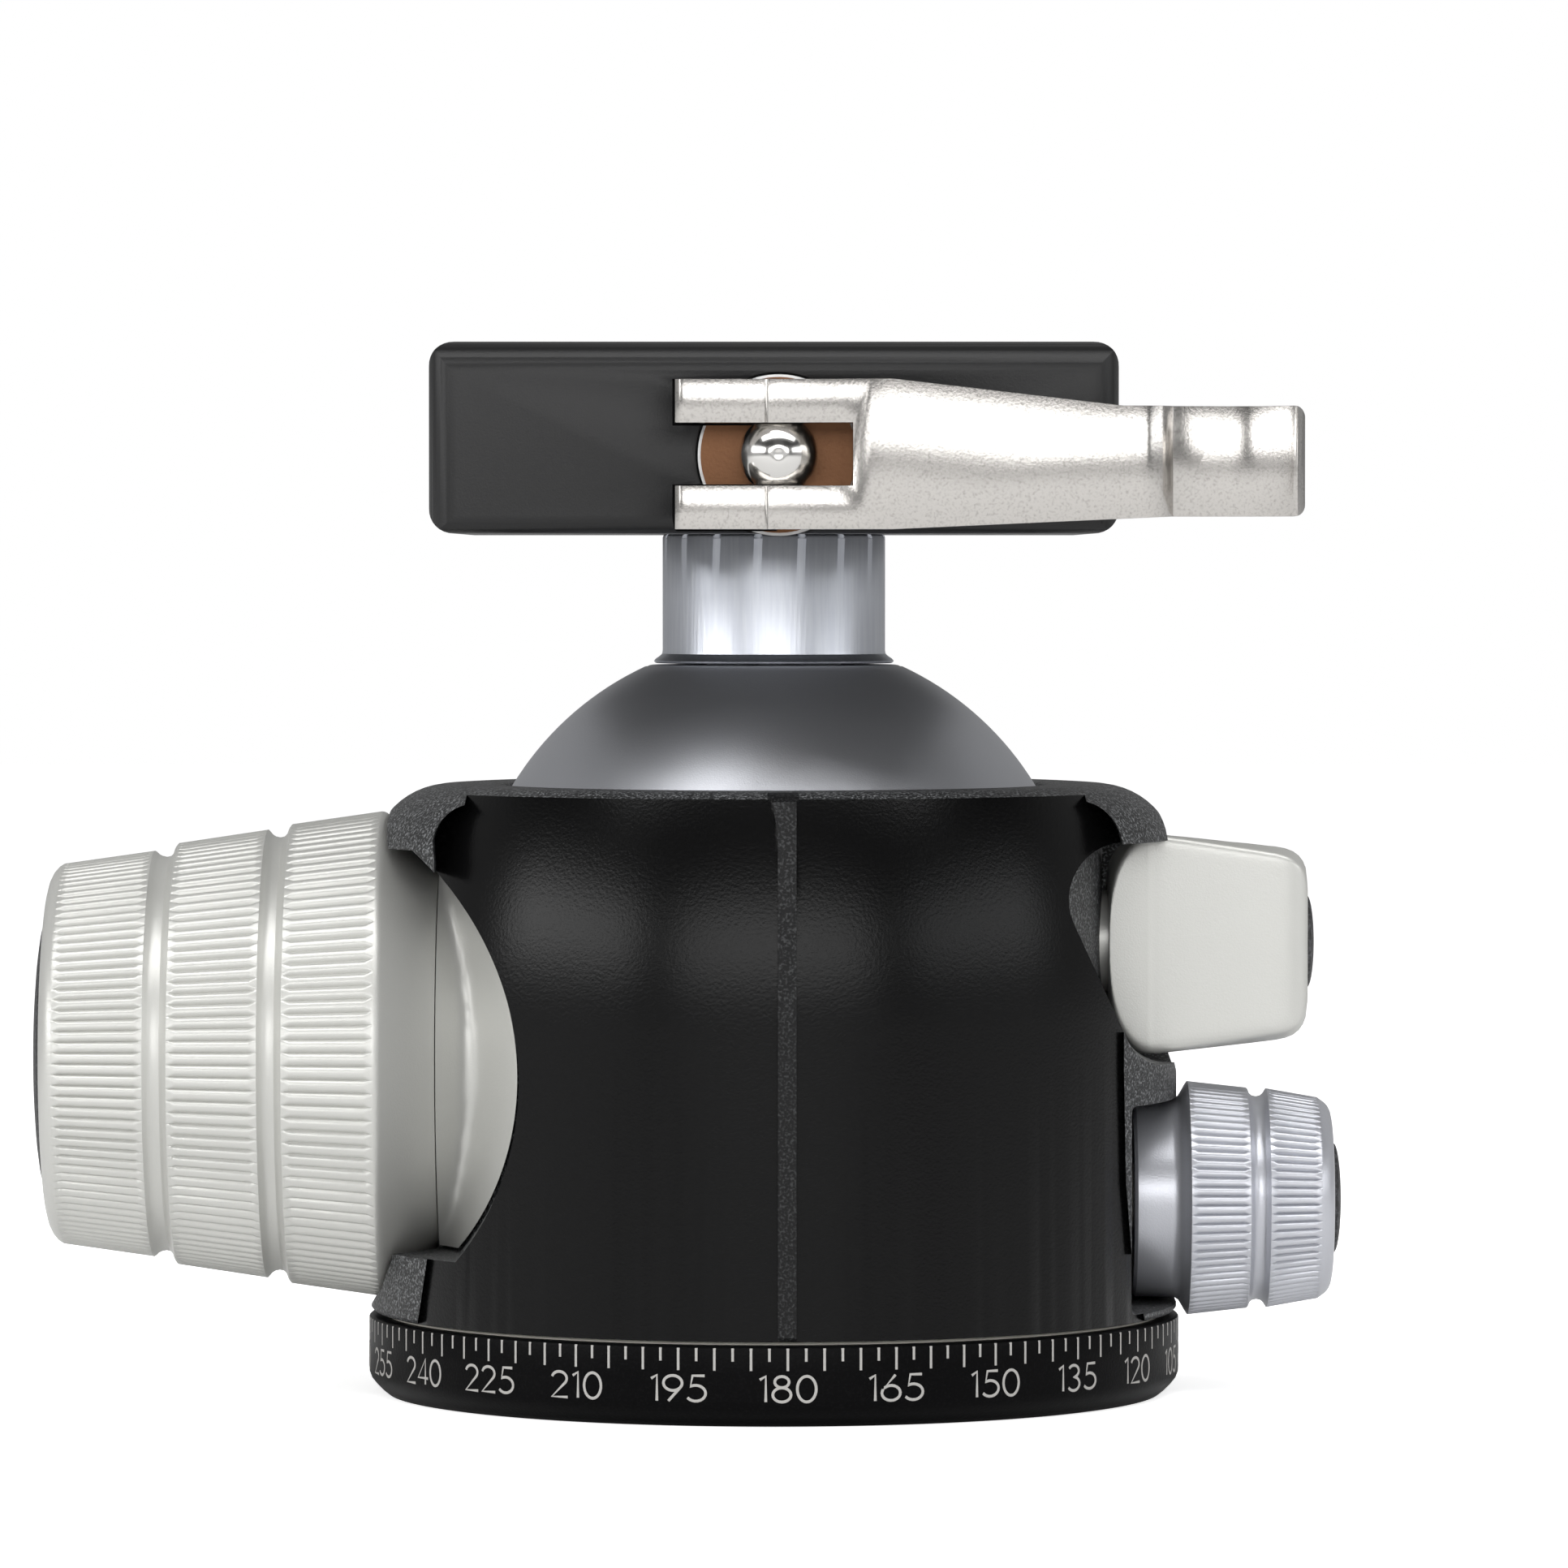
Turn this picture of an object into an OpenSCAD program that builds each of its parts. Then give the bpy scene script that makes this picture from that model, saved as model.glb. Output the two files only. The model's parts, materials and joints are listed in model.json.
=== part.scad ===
// Low ball head for a tripod: a turning base with a degree scale, a casing
// with three knobs, a large ball with a short neck, and a lever clamp on top.
// The origin is the mouth of the tripod thread. Up is +Z, the scale's
// reading mark faces -Y, the large locking knob points along -X.

/* [Base] */
// Step by which the turning base stands out past the casing
base_step = 0.2; // [0.1:0.05:0.4]
// Height of the base's top face
base_h = 7.1; // [6.5:0.1:7.6]
// Width of the chamfer round the foot of the base
base_chamfer = 1.3; // [0.5:0.1:2]
// Tapping radius of the tripod thread
thread_r = 4.0; // [3:0.1:4.5]
// Wall of the thread bush
bush_wall = 3.2; // [2:0.1:4]
// Number of screws that hold the spigot
base_screw_count = 6; // [4:1:8]

/* [Ball] */
// Radius of the ball
ball_r = 27.5; // [26.5:0.1:27.8]
// Height of the ball's lowest point
ball_floor = 12.8; // [12.6:0.1:14]
// Height that the flat shoulder takes off the top of the ball
ball_cap = 2.4; // [2:0.1:3]
// Thickness of the floating liner under the ball
liner_t = 1.0; // [0.8:0.05:1.2]

/* [Casing] */
// Wall of the casing outside the ball's cavity
casing_wall = 7.6; // [7.4:0.1:8.4]
// Height of the casing's rim above the ball's centre
rim_h = 14.4; // [13:0.1:15.5]
// Radius of the rounded shoulder
shoulder_fillet = 7.0; // [4:0.5:7.5]
// Wall left between the ball's cavity and the knob pockets
core_wall = 0.9; // [0.7:0.05:1.2]
// Depth of the two front faces below the grey sides
face_depth = 0.4; // [0.2:0.05:0.6]
// Radius of the front faces' lean towards the rim, seen from the side
belly_r = 55; // [50:1:80]
// Width of the reading mark between the front faces
mark_w = 1.6; // [1:0.1:3]
// Width of the notch at the back for the neck
notch_gap = 0.35; // [0.3:0.05:0.6]

/* [Locking knob] */
// Depth of the locking knob's axis below the ball's centre
lock_drop = 9.9; // [9.4:0.1:10.2]
// Largest radius of the locking knob
lock_r = 21.8; // [20:0.1:22]
// Length of the three fluted bands and their grooves
lock_len = 30.2; // [26:0.1:34]
// Number of flutes round the locking knob
lock_flutes = 100; // [60:2:110]
// Depth of a flute
flute_depth = 0.42; // [0.2:0.02:0.5]

/* [Tension knob] */
// Height of the tension knob above the ball's centre
tension_rise = 0.2; // [0:0.1:0.4]
// Largest radius of the tension knob, over its three corners
tension_r = 11.3; // [10.8:0.1:11.4]
// Radius over the corners at the tension knob's outer end
tension_end_r = 9.1; // [8.5:0.1:9.5]
// Distance of the tension knob's flats from its axis at the wide end
tension_flat = 6.0; // [5.8:0.1:7]
// Length of the tension knob
tension_len = 17.9; // [16:0.1:19]

/* [Panning knob] */
// Height of the panning knob's axis
pan_z = 17.4; // [17.2:0.1:17.8]
// Largest radius of the panning knob
pan_r = 10.5; // [10:0.1:11]
// Radius of its smooth collar
pan_collar_r = 8.9; // [8.4:0.1:9]
// Length of the panning knob
pan_len = 17.9; // [17.5:0.1:20]
// Number of flutes round the panning knob
pan_flutes = 56; // [40:2:60]

/* [Neck] */
// Length of the neck between the ball and the clamp
neck_len = 11.7; // [11.7:0.1:14]
// Radius of the neck
neck_r = 10.0; // [9:0.1:10]
// Radius of the neck's tail inside the ball
tail_r = 6.0; // [5:0.1:7]
// Depth of the tail below the ball's shoulder
tail_depth = 15.2; // [12:0.1:17]

/* [Clamp] */
// Length of the clamp along the groove
clamp_len = 60; // [50:1:64]
// Width of each jaw beside the groove
jaw_w = 9.9; // [9.4:0.1:11]
// Height of the clamp
clamp_h = 16.7; // [16:0.1:18]
// Width of the plate that the groove takes
plate_w = 38.2; // [37.5:0.1:39]
// Depth of the groove
groove_depth = 5.5; // [5:0.1:6]
// Rounding of the clamp's long top edges
clamp_round = 3.0; // [1:0.1:4]
// Travel of the moving jaw
jaw_travel = 1.5; // [1:0.1:1.8]

/* [Lever] */
// Distance of the lever's pivot in front of the clamp
pivot_out = 4.4; // [4.2:0.1:4.8]
// Reach of the lever to the right of its pivot
lever_reach = 45.3; // [40:0.1:48]
// Height of the lever's fork
fork_h = 12.9; // [12:0.1:13]
// Height of the slot in the fork
slot_h = 5.4; // [5:0.1:5.8]
// Radius of the ball on the pull rod
rod_ball_r = 3.4; // [3.2:0.05:3.5]
// Opening angle of the lever
lever_open = 88; // [60:1:88]

/* [Hidden] */
$fn = 96;

// Shared clearances: every cut runs past its face by the overrun
over = 1;
fit = 0.05;
gap = 0.3;
seam = 0.15;
edge = 0.3;

// Ball, liner and cavity
liner_in = ball_r + fit;
liner_out = liner_in + liner_t;
bore_r = liner_out + fit;
core_r = bore_r + core_wall;
liner_half_w = 16;
liner_foot = 1;
liner_drop = 14.3;
liner_low = ball_r - liner_foot;
liner_high = ball_r - liner_drop;
ball_z = ball_floor + ball_r;
shoulder_z = ball_z + ball_r - ball_cap;
sweep_r = liner_out + 2 * gap;

// Casing
casing_z = base_h + gap;
casing_r = bore_r + casing_wall;
base_r = casing_r + base_step;
rim_z = ball_z + rim_h;
rim_gap = 0.5;
rim_cut_r = ball_r + rim_gap;
seat_low = 1.2;
seat_high = 9.7;
seat_low_z = ball_z + seat_low;
seat_high_z = ball_z + seat_high;
far = 2 * casing_r;
crease_in = 6.9;
crease_x = casing_r - crease_in;
crease_low_in = 4.2;
crease_low_x = casing_r - crease_low_in;
crease_corner = 2.4;
crease_rise = 5.1;
crease_low_z = casing_z + crease_rise;
belly_drop = 6.3;
belly_z = ball_z - belly_drop;
mark_x = 1.15;
relief_gap = 0.25;
relief_r = casing_r + relief_gap;
relief_y = 14;

// Lower seat and base spigot
seat_drop = 18.7;
seat_h = 4.4;
lower_seat_z = ball_z - seat_drop;
lower_seat_top = lower_seat_z + seat_h;
spigot_gap = 0.8;
spigot_r = bore_r - spigot_gap;
spigot_top = lower_seat_z - 2 * gap;
spigot_wall = 8.8;
spigot_in_r = spigot_r - spigot_wall;
groove_in = 1.2;
groove_half = 2.4;
snap_rise = 4.1;
snap_z = base_h + snap_rise;
snap_bury = 0.4;
snap_r = bore_r - snap_bury;
snap_wire = 0.7;
snap_slit = 2.6;
base_screw_in = 4.2;
base_screw_ring = spigot_r - base_screw_in;
base_screw_r = 1.5;
base_screw_len = 16.5;
base_head_r = 2.9;
base_head_h = 1.9;
socket_r = 1.15;
bush_rise = 2.9;
bush_h = base_h + bush_rise;
bush_flange_r = 10;
bush_flange_h = 2.4;
hub_r = 13;
bearing_in = 1;
bearing_out = 1.4;
bearing_in_r = bore_r + bearing_in;
bearing_out_r = casing_r - bearing_out;
bearing_depth = 0.6;

// Pocket for the locking knob, seen from the front as a large arc
lock_z = ball_z - lock_drop;
pocket_out = 11.3;
pocket_x = -casing_r - pocket_out;
pocket_drop = 1.1;
pocket_z = lock_z - pocket_drop;
pocket_r = 25.3;
pocket_rise = 18.8;
pocket_fall = 17.1;
pocket_top = lock_z + pocket_rise;
pocket_foot = lock_z - pocket_fall;
knob_clear = 0.7;
bezel_gap = 0.5;
bezel_skin = 0.8;
bezel_bury = 5;

// Locking knob along -X: distances are from the casing's axis
lock_back = core_r + gap + seam;
lock_in = 1.3;
lock_wide = casing_r - lock_in;
lock_slope = 0.93;
lock_end = lock_wide + lock_len;
lock_taper = 0.152;
lock_band = 8.2;
lock_groove = 2.3;
lock_groove_depth = 0.9;
lock_tip_r = 16.2;
lock_tip_round = 1.2;
flute_run = 0.9;
cap_r = 13;
cap_proud = 1.2;
spindle_r = 3;
shoe_r = 4;
shoe_out = 2.5;
shoe_back = core_r + shoe_out;
shoe_bore_r = 2;
shoe_floor = 0.9;
shoe_bore_end = ball_r + shoe_floor;
shoe_play = 1.3;
spindle_step = 1.1;
spindle_shoulder = lock_wide - spindle_step;
washer_out_r = 10.8;
washer_t = 0.9;

// Tension knob along +X
tension_z = ball_z + tension_rise;
tension_gap = 0.4;
tension_back = core_r + tension_gap;
tension_belly = 3.6;
tension_wide = tension_back + tension_belly;
tension_end = tension_back + tension_len;
pad_r = 3;
pad_out = 1.5;
pad_back = core_r + pad_out;
tension_bush_r = 4.6;
tension_bush_out = 3.1;
tension_bush_end = core_r + tension_bush_out;
screw_r = 2.5;
screw_tip_r = 1.5;
pad_floor = 1.7;
pad_bore_end = ball_r + pad_floor;
flat_lean = 0.4;
tension_cap_in = 0.2;
tension_cap_r = 4.2;

// Panning knob along +X: the marks are distances from its inner end
pan_in = 4;
pan_back = casing_r - pan_in;
pan_bore_r = pan_collar_r + gap + edge / 3;
pan_bore_floor = pan_back - 2 * gap;
pan_end = pan_back + pan_len;
pan_marks = [4.3, 4.7, 5, 10.2, 10.7, 11.6, 12.1, 16.6];
pan_falls = [0.6, 1.3, 0.7, 1.5, 2];
pan_shoe_out = 0.8;
pan_shoe_back = pan_back + pan_shoe_out;
pan_shoe_in = 0.4;
pan_shoe_tip = spigot_r - pan_shoe_in;
pan_shoe_tip_r = 0.6;
pan_shoe_neck_r = 1.2;

// Pocket for the tension knob: an upper and a lower round, joined
tp_upper_in = 5.6;
tp_upper_rise = 4.7;
tp_upper = [casing_r - tp_upper_in, ball_z + tp_upper_rise];
tp_upper_r = 4.8;
tp_lower_in = 0.9;
tp_lower_drop = 5.8;
tp_lower = [casing_r - tp_lower_in, ball_z - tp_lower_drop];
tp_lower_r = 4.6;

// Neck
neck_flare = 0.8;

// Clamp
clamp_z = shoulder_z + neck_len;
clamp_w = plate_w + 2 * jaw_w;
groove_z = clamp_z + clamp_h - groove_depth;
clamp_top = clamp_z + clamp_h;
split_gap = 0.3;
lip_h = 0.25;
clamp_foot_round = 1.6;
clamp_end_round = 2.2;
clamp_corner = 2.5;
clamp_screw_r = 3;
clamp_head_r = 5;
clamp_head_h = 3.6;
clamp_screw_len = 22;
pin_r = 2;
pin_x = 22;
pin_rise = 5.4;
pin_z = clamp_z + pin_rise;
pin_cover = 3;
pin_out = clamp_w / 2 - pin_cover;
pin_in = 5;

// Lever, its pivot and the washers behind it
pivot_x = 0.4;
pivot_y = -clamp_w / 2 - pivot_out;
pivot_rise = 6.8;
pivot_z = clamp_z + pivot_rise;
cam_h = 3.2;
cam_rate = jaw_travel / (lever_open * PI / 180);
heel_reach = 8.9;
heel_front = 3.2;
heel_back = 0.4;
heel_clear = 0.15;
cam_flat = 6;
slit_x = 0.9;
arm_front = [[4, 0.4], [8, 1.5], [9.6, 1.8]];
arm_back = [2, 5.6, 4, 3.4];
arm_t = 2.6;
arm_x = 9.8;
taper_len = 19.8;
taper_drop = 2.3;
bend_r = 3;
bend_rise = 0.6;
tab_len = 11.3;
tab_r = 10;
tab_mid = 3;
tab_end = 1.4;
tab_t = 1.2;
tab_back = 2.6;
tab_round = 1;
tab_drop = 2.3;
tab_lift = 1.1;
slot_x = 6.4;
washer_face = pivot_y + cam_h + fit / 2;
bronze_t = 1.4;
bronze_r = 6.75;
steel_r = 7.0;
counterbore_r = 7.2;
rod_r = 1.7;
rod_hole_r = 1.95;
rod_ball_back = cam_h - jaw_travel - fit / 2;
rod_end_y = -clamp_head_r - 2 * gap;
counterbore_depth = 1.5;
counterbore_y = -clamp_w / 2 + counterbore_depth;

// Axis helpers: a cylinder, or a turned shape, laid along X or Y
module along_x(x0, x1, r1, r2) {
    translate([x0, 0, 0]) rotate([0, 90, 0]) cylinder(h = x1 - x0, r1 = r1, r2 = r2);
}

module along_y(y0, y1, r) {
    translate([0, y0, 0]) rotate([-90, 0, 0]) cylinder(h = y1 - y0, r = r);
}

// Extrudes a profile drawn in X and Z along Y
module sweep_y(y0, y1) {
    translate([0, y1, 0]) rotate([90, 0, 0]) linear_extrude(y1 - y0) children();
}

// Extrudes a profile drawn in Y and Z along X
module sweep_x(x0, x1) {
    translate([x0, 0, 0]) rotate([90, 0, 90]) linear_extrude(x1 - x0) children();
}

// A rectangle with four true quarter rounds
module round_rect(w, h, r) {
    translate([r, 0]) square([w - 2 * r, h]);
    translate([0, r]) square([w, h - 2 * r]);
    for (x = [r, w - r], y = [r, h - r]) translate([x, y]) circle(r);
}

// Points of an arc, for turned and swept outlines
function arc(cx, cy, r, a0, a1, n = 10) =
    [for (i = [0:n]) [cx + r * cos(a0 + (a1 - a0) * i / n), cy + r * sin(a0 + (a1 - a0) * i / n)]];

// Angle at which the left-hand tangent leaves two circles, the upper one first
function tangent_angle(c1, r1, c2, r2) =
    let (d = c2 - c1) 360 + atan2(d[1], d[0]) - acos((r1 - r2) / norm(d));

// Base

module pan_base() {
    color("#2a2a2c") difference() {
        rotate_extrude() polygon([[0, 0], [base_r - base_chamfer - edge, 0],
            [base_r - edge, base_chamfer], [base_r, base_chamfer + edge],
            [base_r, base_h - edge], [base_r - edge, base_h], [hub_r, base_h],
            [hub_r, bush_h], [0, bush_h]]);
        translate([0, 0, -over]) cylinder(h = bush_h + 2 * over, r = thread_r + bush_wall);
        translate([0, 0, -over]) cylinder(h = bush_flange_h + over, r = bush_flange_r);
        bearing_ring(base_h - bearing_depth, base_h + over, fit);
        base_screw_places() base_screw_cut();
    }
}

module bearing_ring(z0, z1, spare) {
    translate([0, 0, z0]) difference() {
        cylinder(h = z1 - z0, r = bearing_out_r + spare);
        translate([0, 0, -over]) cylinder(h = z1 - z0 + 2 * over, r = bearing_in_r - spare);
    }
}

module pan_bearing() {
    color("#e8e4d8") bearing_ring(base_h - bearing_depth, casing_z - fit / 2, 0);
}

module thread_bush() {
    color("#b8bcc0") difference() {
        union() {
            cylinder(h = bush_h, r = thread_r + bush_wall);
            cylinder(h = bush_flange_h, r = bush_flange_r);
        }
        translate([0, 0, -over]) cylinder(h = bush_h + 2 * over, r = thread_r);
    }
}

module base_screw_places() {
    for (i = [0:base_screw_count - 1])
        rotate([0, 0, (i + 0.5) * 360 / base_screw_count]) translate([base_screw_ring, 0, 0])
            children();
}

module base_screw_cut() {
    translate([0, 0, edge]) cylinder(h = base_screw_len, r = base_screw_r);
    translate([0, 0, edge]) cylinder(h = base_head_h, r1 = base_head_r, r2 = base_screw_r);
    translate([0, 0, -over]) cylinder(h = over + edge, r = base_head_r);
}

module base_screws() {
    color("#55585c") base_screw_places() difference() {
        union() {
            translate([0, 0, edge]) cylinder(h = base_screw_len, r = base_screw_r);
            translate([0, 0, edge]) cylinder(h = base_head_h, r1 = base_head_r, r2 = base_screw_r);
        }
        translate([0, 0, edge - over]) cylinder(h = over + base_head_h / 2, r = socket_r, $fn = 6);
    }
}

module pan_spigot() {
    color("#a9adb0") difference() {
        translate([0, 0, base_h]) cylinder(h = spigot_top - base_h, r = spigot_r);
        translate([0, 0, base_h - over]) cylinder(h = spigot_top, r = spigot_in_r);
        translate([0, 0, ball_z]) sphere(sweep_r);
        rotate_extrude() polygon([[spigot_r + over, pan_z + groove_half + over],
            [spigot_r - groove_in, pan_z], [spigot_r + over, pan_z - groove_half - over]]);
        rotate_extrude() translate([snap_r, snap_z]) circle(snap_wire + fit, $fn = 32);
        base_screw_places() translate([0, 0, edge]) cylinder(h = base_screw_len, r = base_screw_r);
    }
}

module snap_ring() {
    color("#77797c") difference() {
        rotate_extrude() translate([snap_r, snap_z]) circle(snap_wire, $fn = 32);
        translate([0, -snap_r, snap_z]) cube([snap_slit, snap_slit, 2 * over], center = true);
    }
}

// Casing

// Turned outline of the casing, drawn in by a depth all round its outside
module casing_turned(inset) {
    fr = shoulder_fillet - inset;
    cx = casing_r - shoulder_fillet;
    cz = rim_z - shoulder_fillet;
    rotate_extrude() union() {
        translate([0, casing_z]) square([casing_r - inset, cz - casing_z]);
        translate([0, casing_z]) square([cx, rim_z - casing_z]);
        translate([cx, cz]) circle(fr);
    }
}

// Outline of one front face, seen from the front, on the +X side
module face_outline() {
    polygon(concat([[mark_x + mark_w / 2, casing_z - over], [crease_low_x, casing_z - over],
        [crease_low_x, casing_z], [crease_x + (crease_low_x - crease_x) / 3, crease_low_z],
        [crease_x, 2 * crease_low_z]],
        arc(crease_x - crease_corner, rim_z - crease_corner - edge, crease_corner, 0, 80, 8),
        [[crease_x - crease_corner, rim_z + over], [mark_x + mark_w / 2, rim_z + over]]));
}

// A round body whose side leans in above the belly, in an arc
module leaning(r) {
    top = rim_z + 2 * over;
    rotate_extrude() polygon(concat([[0, casing_z - 2 * over], [r, casing_z - 2 * over]],
        arc(r - belly_r, belly_z, belly_r, 0, asin((top - belly_z) / belly_r), 12), [[0, top]]));
}

// Takes the two black faces down to their depth, and the mark to the lean
module front_faces() {
    difference() {
        sweep_y(-far, -core_r / 3) {
            face_outline();
            translate([2 * mark_x, 0]) mirror([1, 0]) face_outline();
        }
        leaning(casing_r - face_depth);
    }
    difference() {
        sweep_y(-far, -core_r / 3) translate([mark_x - mark_w / 2 - seam, casing_z - over])
            square([mark_w + 2 * seam, rim_z]);
        leaning(casing_r);
    }
}

module core(spare = 0) {
    translate([0, 0, -over]) cylinder(h = rim_z + 2 * over, r = core_r + spare);
}

// Front view of the locking knob's pocket, drawn in by a clearance
module lock_pocket_outline(inset) {
    intersection() {
        translate([pocket_x, pocket_z]) circle(pocket_r - inset);
        translate([pocket_x, pocket_foot + inset])
            square([far, pocket_top - pocket_foot - 2 * inset]);
    }
}

module lock_pocket() {
    difference() {
        union() {
            sweep_y(-far, far) lock_pocket_outline(0);
            translate([0, 0, lock_z]) {
                along_x(-lock_wide, -core_r, lock_r + knob_clear,
                    lock_cone_r(core_r) + knob_clear);
                along_x(-far, -lock_wide, lock_r + knob_clear, lock_r + knob_clear);
            }
        }
        core();
    }
}

// Front view of the tension knob's pocket, open to the right
module tension_pocket_outline() {
    lean = tangent_angle(tp_upper, tp_upper_r, tp_lower, tp_lower_r);
    polygon(concat(
        arc(tp_upper[0], tp_upper[1], tp_upper_r, 90, lean, 12),
        arc(tp_lower[0], tp_lower[1], tp_lower_r, lean, 270, 8),
        [[far, tp_lower[1] - tp_lower_r], [far, tp_upper[1] + tp_upper_r]]));
}

module tension_pocket() {
    difference() {
        union() {
            sweep_y(-far, far) tension_pocket_outline();
            translate([0, 0, tension_z])
                along_x(core_r, far, tension_r + knob_clear, tension_r + knob_clear);
        }
        core();
    }
}

module notch(half_w) {
    translate([0, 0, ball_z]) along_y(0, far, half_w);
    translate([-half_w, 0, ball_z]) cube([2 * half_w, far, far]);
}

// Clears the clamp's underside as the neck drops into the notch
module rear_relief() {
    difference() {
        translate([-far, relief_y, ball_z]) cube([2 * far, far, far]);
        translate([0, 0, ball_z]) sphere(relief_r);
    }
}

module casing() {
    color("#303032") difference() {
        casing_turned(0);
        translate([0, 0, casing_z - over]) cylinder(h = seat_high_z - casing_z + over, r = bore_r);
        translate([0, 0, ball_z]) sphere(rim_cut_r);
        rotate_extrude() translate([snap_r, snap_z]) circle(snap_wire + fit, $fn = 32);
        front_faces();
        lock_pocket();
        tension_pocket();
        notch(neck_r + notch_gap);
        rear_relief();
        translate([0, 0, lock_z]) along_x(-far, 0, shoe_r + fit, shoe_r + fit);
        translate([0, 0, tension_z]) along_x(0, far, pad_r + fit + gap, pad_r + fit + gap);
        translate([0, 0, pan_z]) along_x(0, far, pad_r + fit, pad_r + fit);
        translate([0, 0, pan_z]) along_x(pan_bore_floor, far, pan_bore_r, pan_bore_r);
    }
}

module upper_seat() {
    color("#d8d4c8") difference() {
        translate([0, 0, seat_low_z]) cylinder(h = seat_high_z - seat_low_z, r = bore_r);
        translate([0, 0, ball_z]) sphere(liner_in);
        notch(neck_r + 4 * notch_gap);
        translate([0, 0, tension_z]) along_x(0, far, pad_r + 2 * gap, pad_r + 2 * gap);
    }
}

module lower_seat() {
    color("#9b9ea2") difference() {
        translate([0, 0, lower_seat_z]) cylinder(h = lower_seat_top - lower_seat_z, r = bore_r);
        translate([0, 0, ball_z]) sphere(bore_r);
    }
}

function lock_cone_r(x) = lock_r - lock_slope * (lock_wide - x);

// Fixed collar that closes the pocket behind the knob: the end of the knob's
// cone, and a thin saddle that lies on the casing's core
module lock_bezel() {
    face = lock_back - seam;
    tip = core_r - bezel_bury;
    color("#c9cac5") difference() {
        intersection() {
            union() {
                translate([0, 0, lock_z]) along_x(-face, -tip, lock_cone_r(face), lock_cone_r(tip));
                core(bezel_skin);
            }
            sweep_y(-far, far) lock_pocket_outline(bezel_gap);
            translate([-face, -far, 0]) cube([2 * face, 2 * far, far]);
        }
        core();
        translate([0, 0, lock_z]) along_x(-far, 0, shoe_r + fit, shoe_r + fit);
    }
}

module tension_bush() {
    color("#c9cac5") translate([0, 0, tension_z]) difference() {
        union() {
            difference() {
                along_x(0, tension_bush_end, tension_bush_r, tension_bush_r);
                translate([0, 0, -tension_z]) core();
            }
            difference() {
                along_x(0, tension_bush_end, pad_r + fit + gap, pad_r + fit + gap);
                translate([0, 0, -far]) cylinder(h = 2 * far, r = bore_r);
            }
        }
        along_x(0, far, pad_r + fit, pad_r + fit);
    }
}

// Fluted knobs. A ring is [distance, radius, flute depth]; the rings are
// joined in order by quads, with a crest and a valley for each flute.
function ring_points(x, r, depth, flutes) =
    [for (i = [0:2 * flutes - 1])
        let (a = i * 180 / flutes, q = r - (i % 2) * depth) [x, q * cos(a), q * sin(a)]];

module fluted(rings, flutes) {
    n = 2 * flutes;
    m = len(rings);
    points = [for (g = rings) each ring_points(g[0], g[1], g[2], flutes)];
    sides = [for (j = [0:m - 2], i = [0:n - 1])
        each [[j * n + i, j * n + (i + 1) % n, (j + 1) * n + i],
              [j * n + (i + 1) % n, (j + 1) * n + (i + 1) % n, (j + 1) * n + i]]];
    first = [for (i = [n - 1:-1:0]) i];
    last = [for (i = [0:n - 1]) (m - 1) * n + i];
    polyhedron(points = points, faces = concat(sides, [first, last]), convexity = 4);
}

// Rings of one fluted band whose flutes run out in points at both ends
function band_rings(x0, x1, r0, r1, depth, run) =
    [[x0, r0 - run / 3, 0], [x0 + run / 2, r0, 0], [x0 + 2 * run, r0, depth],
     [x1 - 2 * run, r1, depth], [x1 - run / 2, r1, 0], [x1, r1 - run / 3, 0]];

module lock_knob() {
    pitch = lock_band + lock_groove;
    rings = concat(
        [[lock_back, lock_cone_r(lock_back), 0], [lock_wide - edge, lock_cone_r(lock_wide - edge), 0]],
        [for (k = [0:2]) let (a = lock_wide + k * pitch, r = lock_r - k * pitch * lock_taper)
            each concat(band_rings(a, a + lock_band, r, r - lock_band * lock_taper,
                flute_depth, flute_run),
                k < 2 ? [[a + lock_band + flute_run / 2, r - lock_band * lock_taper - lock_groove_depth, 0],
                    [a + pitch - flute_run / 2, r - lock_band * lock_taper - lock_groove_depth, 0]]
                : [])],
        [[lock_end - edge, lock_tip_r, 0], [lock_end, lock_tip_r - lock_tip_round, 0]]);
    color("#c9cac5") translate([0, 0, lock_z]) mirror([1, 0, 0]) difference() {
        fluted(rings, lock_flutes);
        along_x(0, lock_end - cap_proud, spindle_r, spindle_r);
        along_x(0, spindle_shoulder, shoe_r + gap, shoe_r + gap);
        along_x(0, lock_back + washer_t, washer_out_r + fit, washer_out_r + fit);
        along_x(lock_end - cap_proud, far + lock_end, cap_r, cap_r);
    }
}

// A domed cap with a short rim, standing a little proud of its knob
module domed_cap(x0, r, h, proud) {
    rotate([0, 90, 0]) rotate_extrude() polygon(concat([[0, x0], [r, x0], [r, x0 + h]],
        [for (i = [1:8]) let (s = i / 8) [r * cos(90 * s), x0 + h + proud * sin(90 * s)]]));
}

module lock_cap() {
    color("#2e2e30") translate([0, 0, lock_z]) mirror([1, 0, 0])
        domed_cap(lock_end - cap_proud, cap_r - fit, cap_proud, cap_proud);
}

module lock_spindle() {
    color("#8c9094") translate([0, 0, lock_z]) mirror([1, 0, 0]) {
        along_x(spindle_shoulder, lock_end - cap_proud, spindle_r, spindle_r);
        along_x(shoe_bore_end + shoe_play, spindle_shoulder + over, shoe_bore_r - fit, shoe_bore_r - fit);
    }
}

module lock_washer() {
    color("#e8e4d8") translate([0, 0, lock_z]) mirror([1, 0, 0]) difference() {
        along_x(lock_back - seam + fit / 2, lock_back + washer_t, washer_out_r, washer_out_r);
        along_x(0, far, shoe_r + gap, shoe_r + gap);
    }
}

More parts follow.
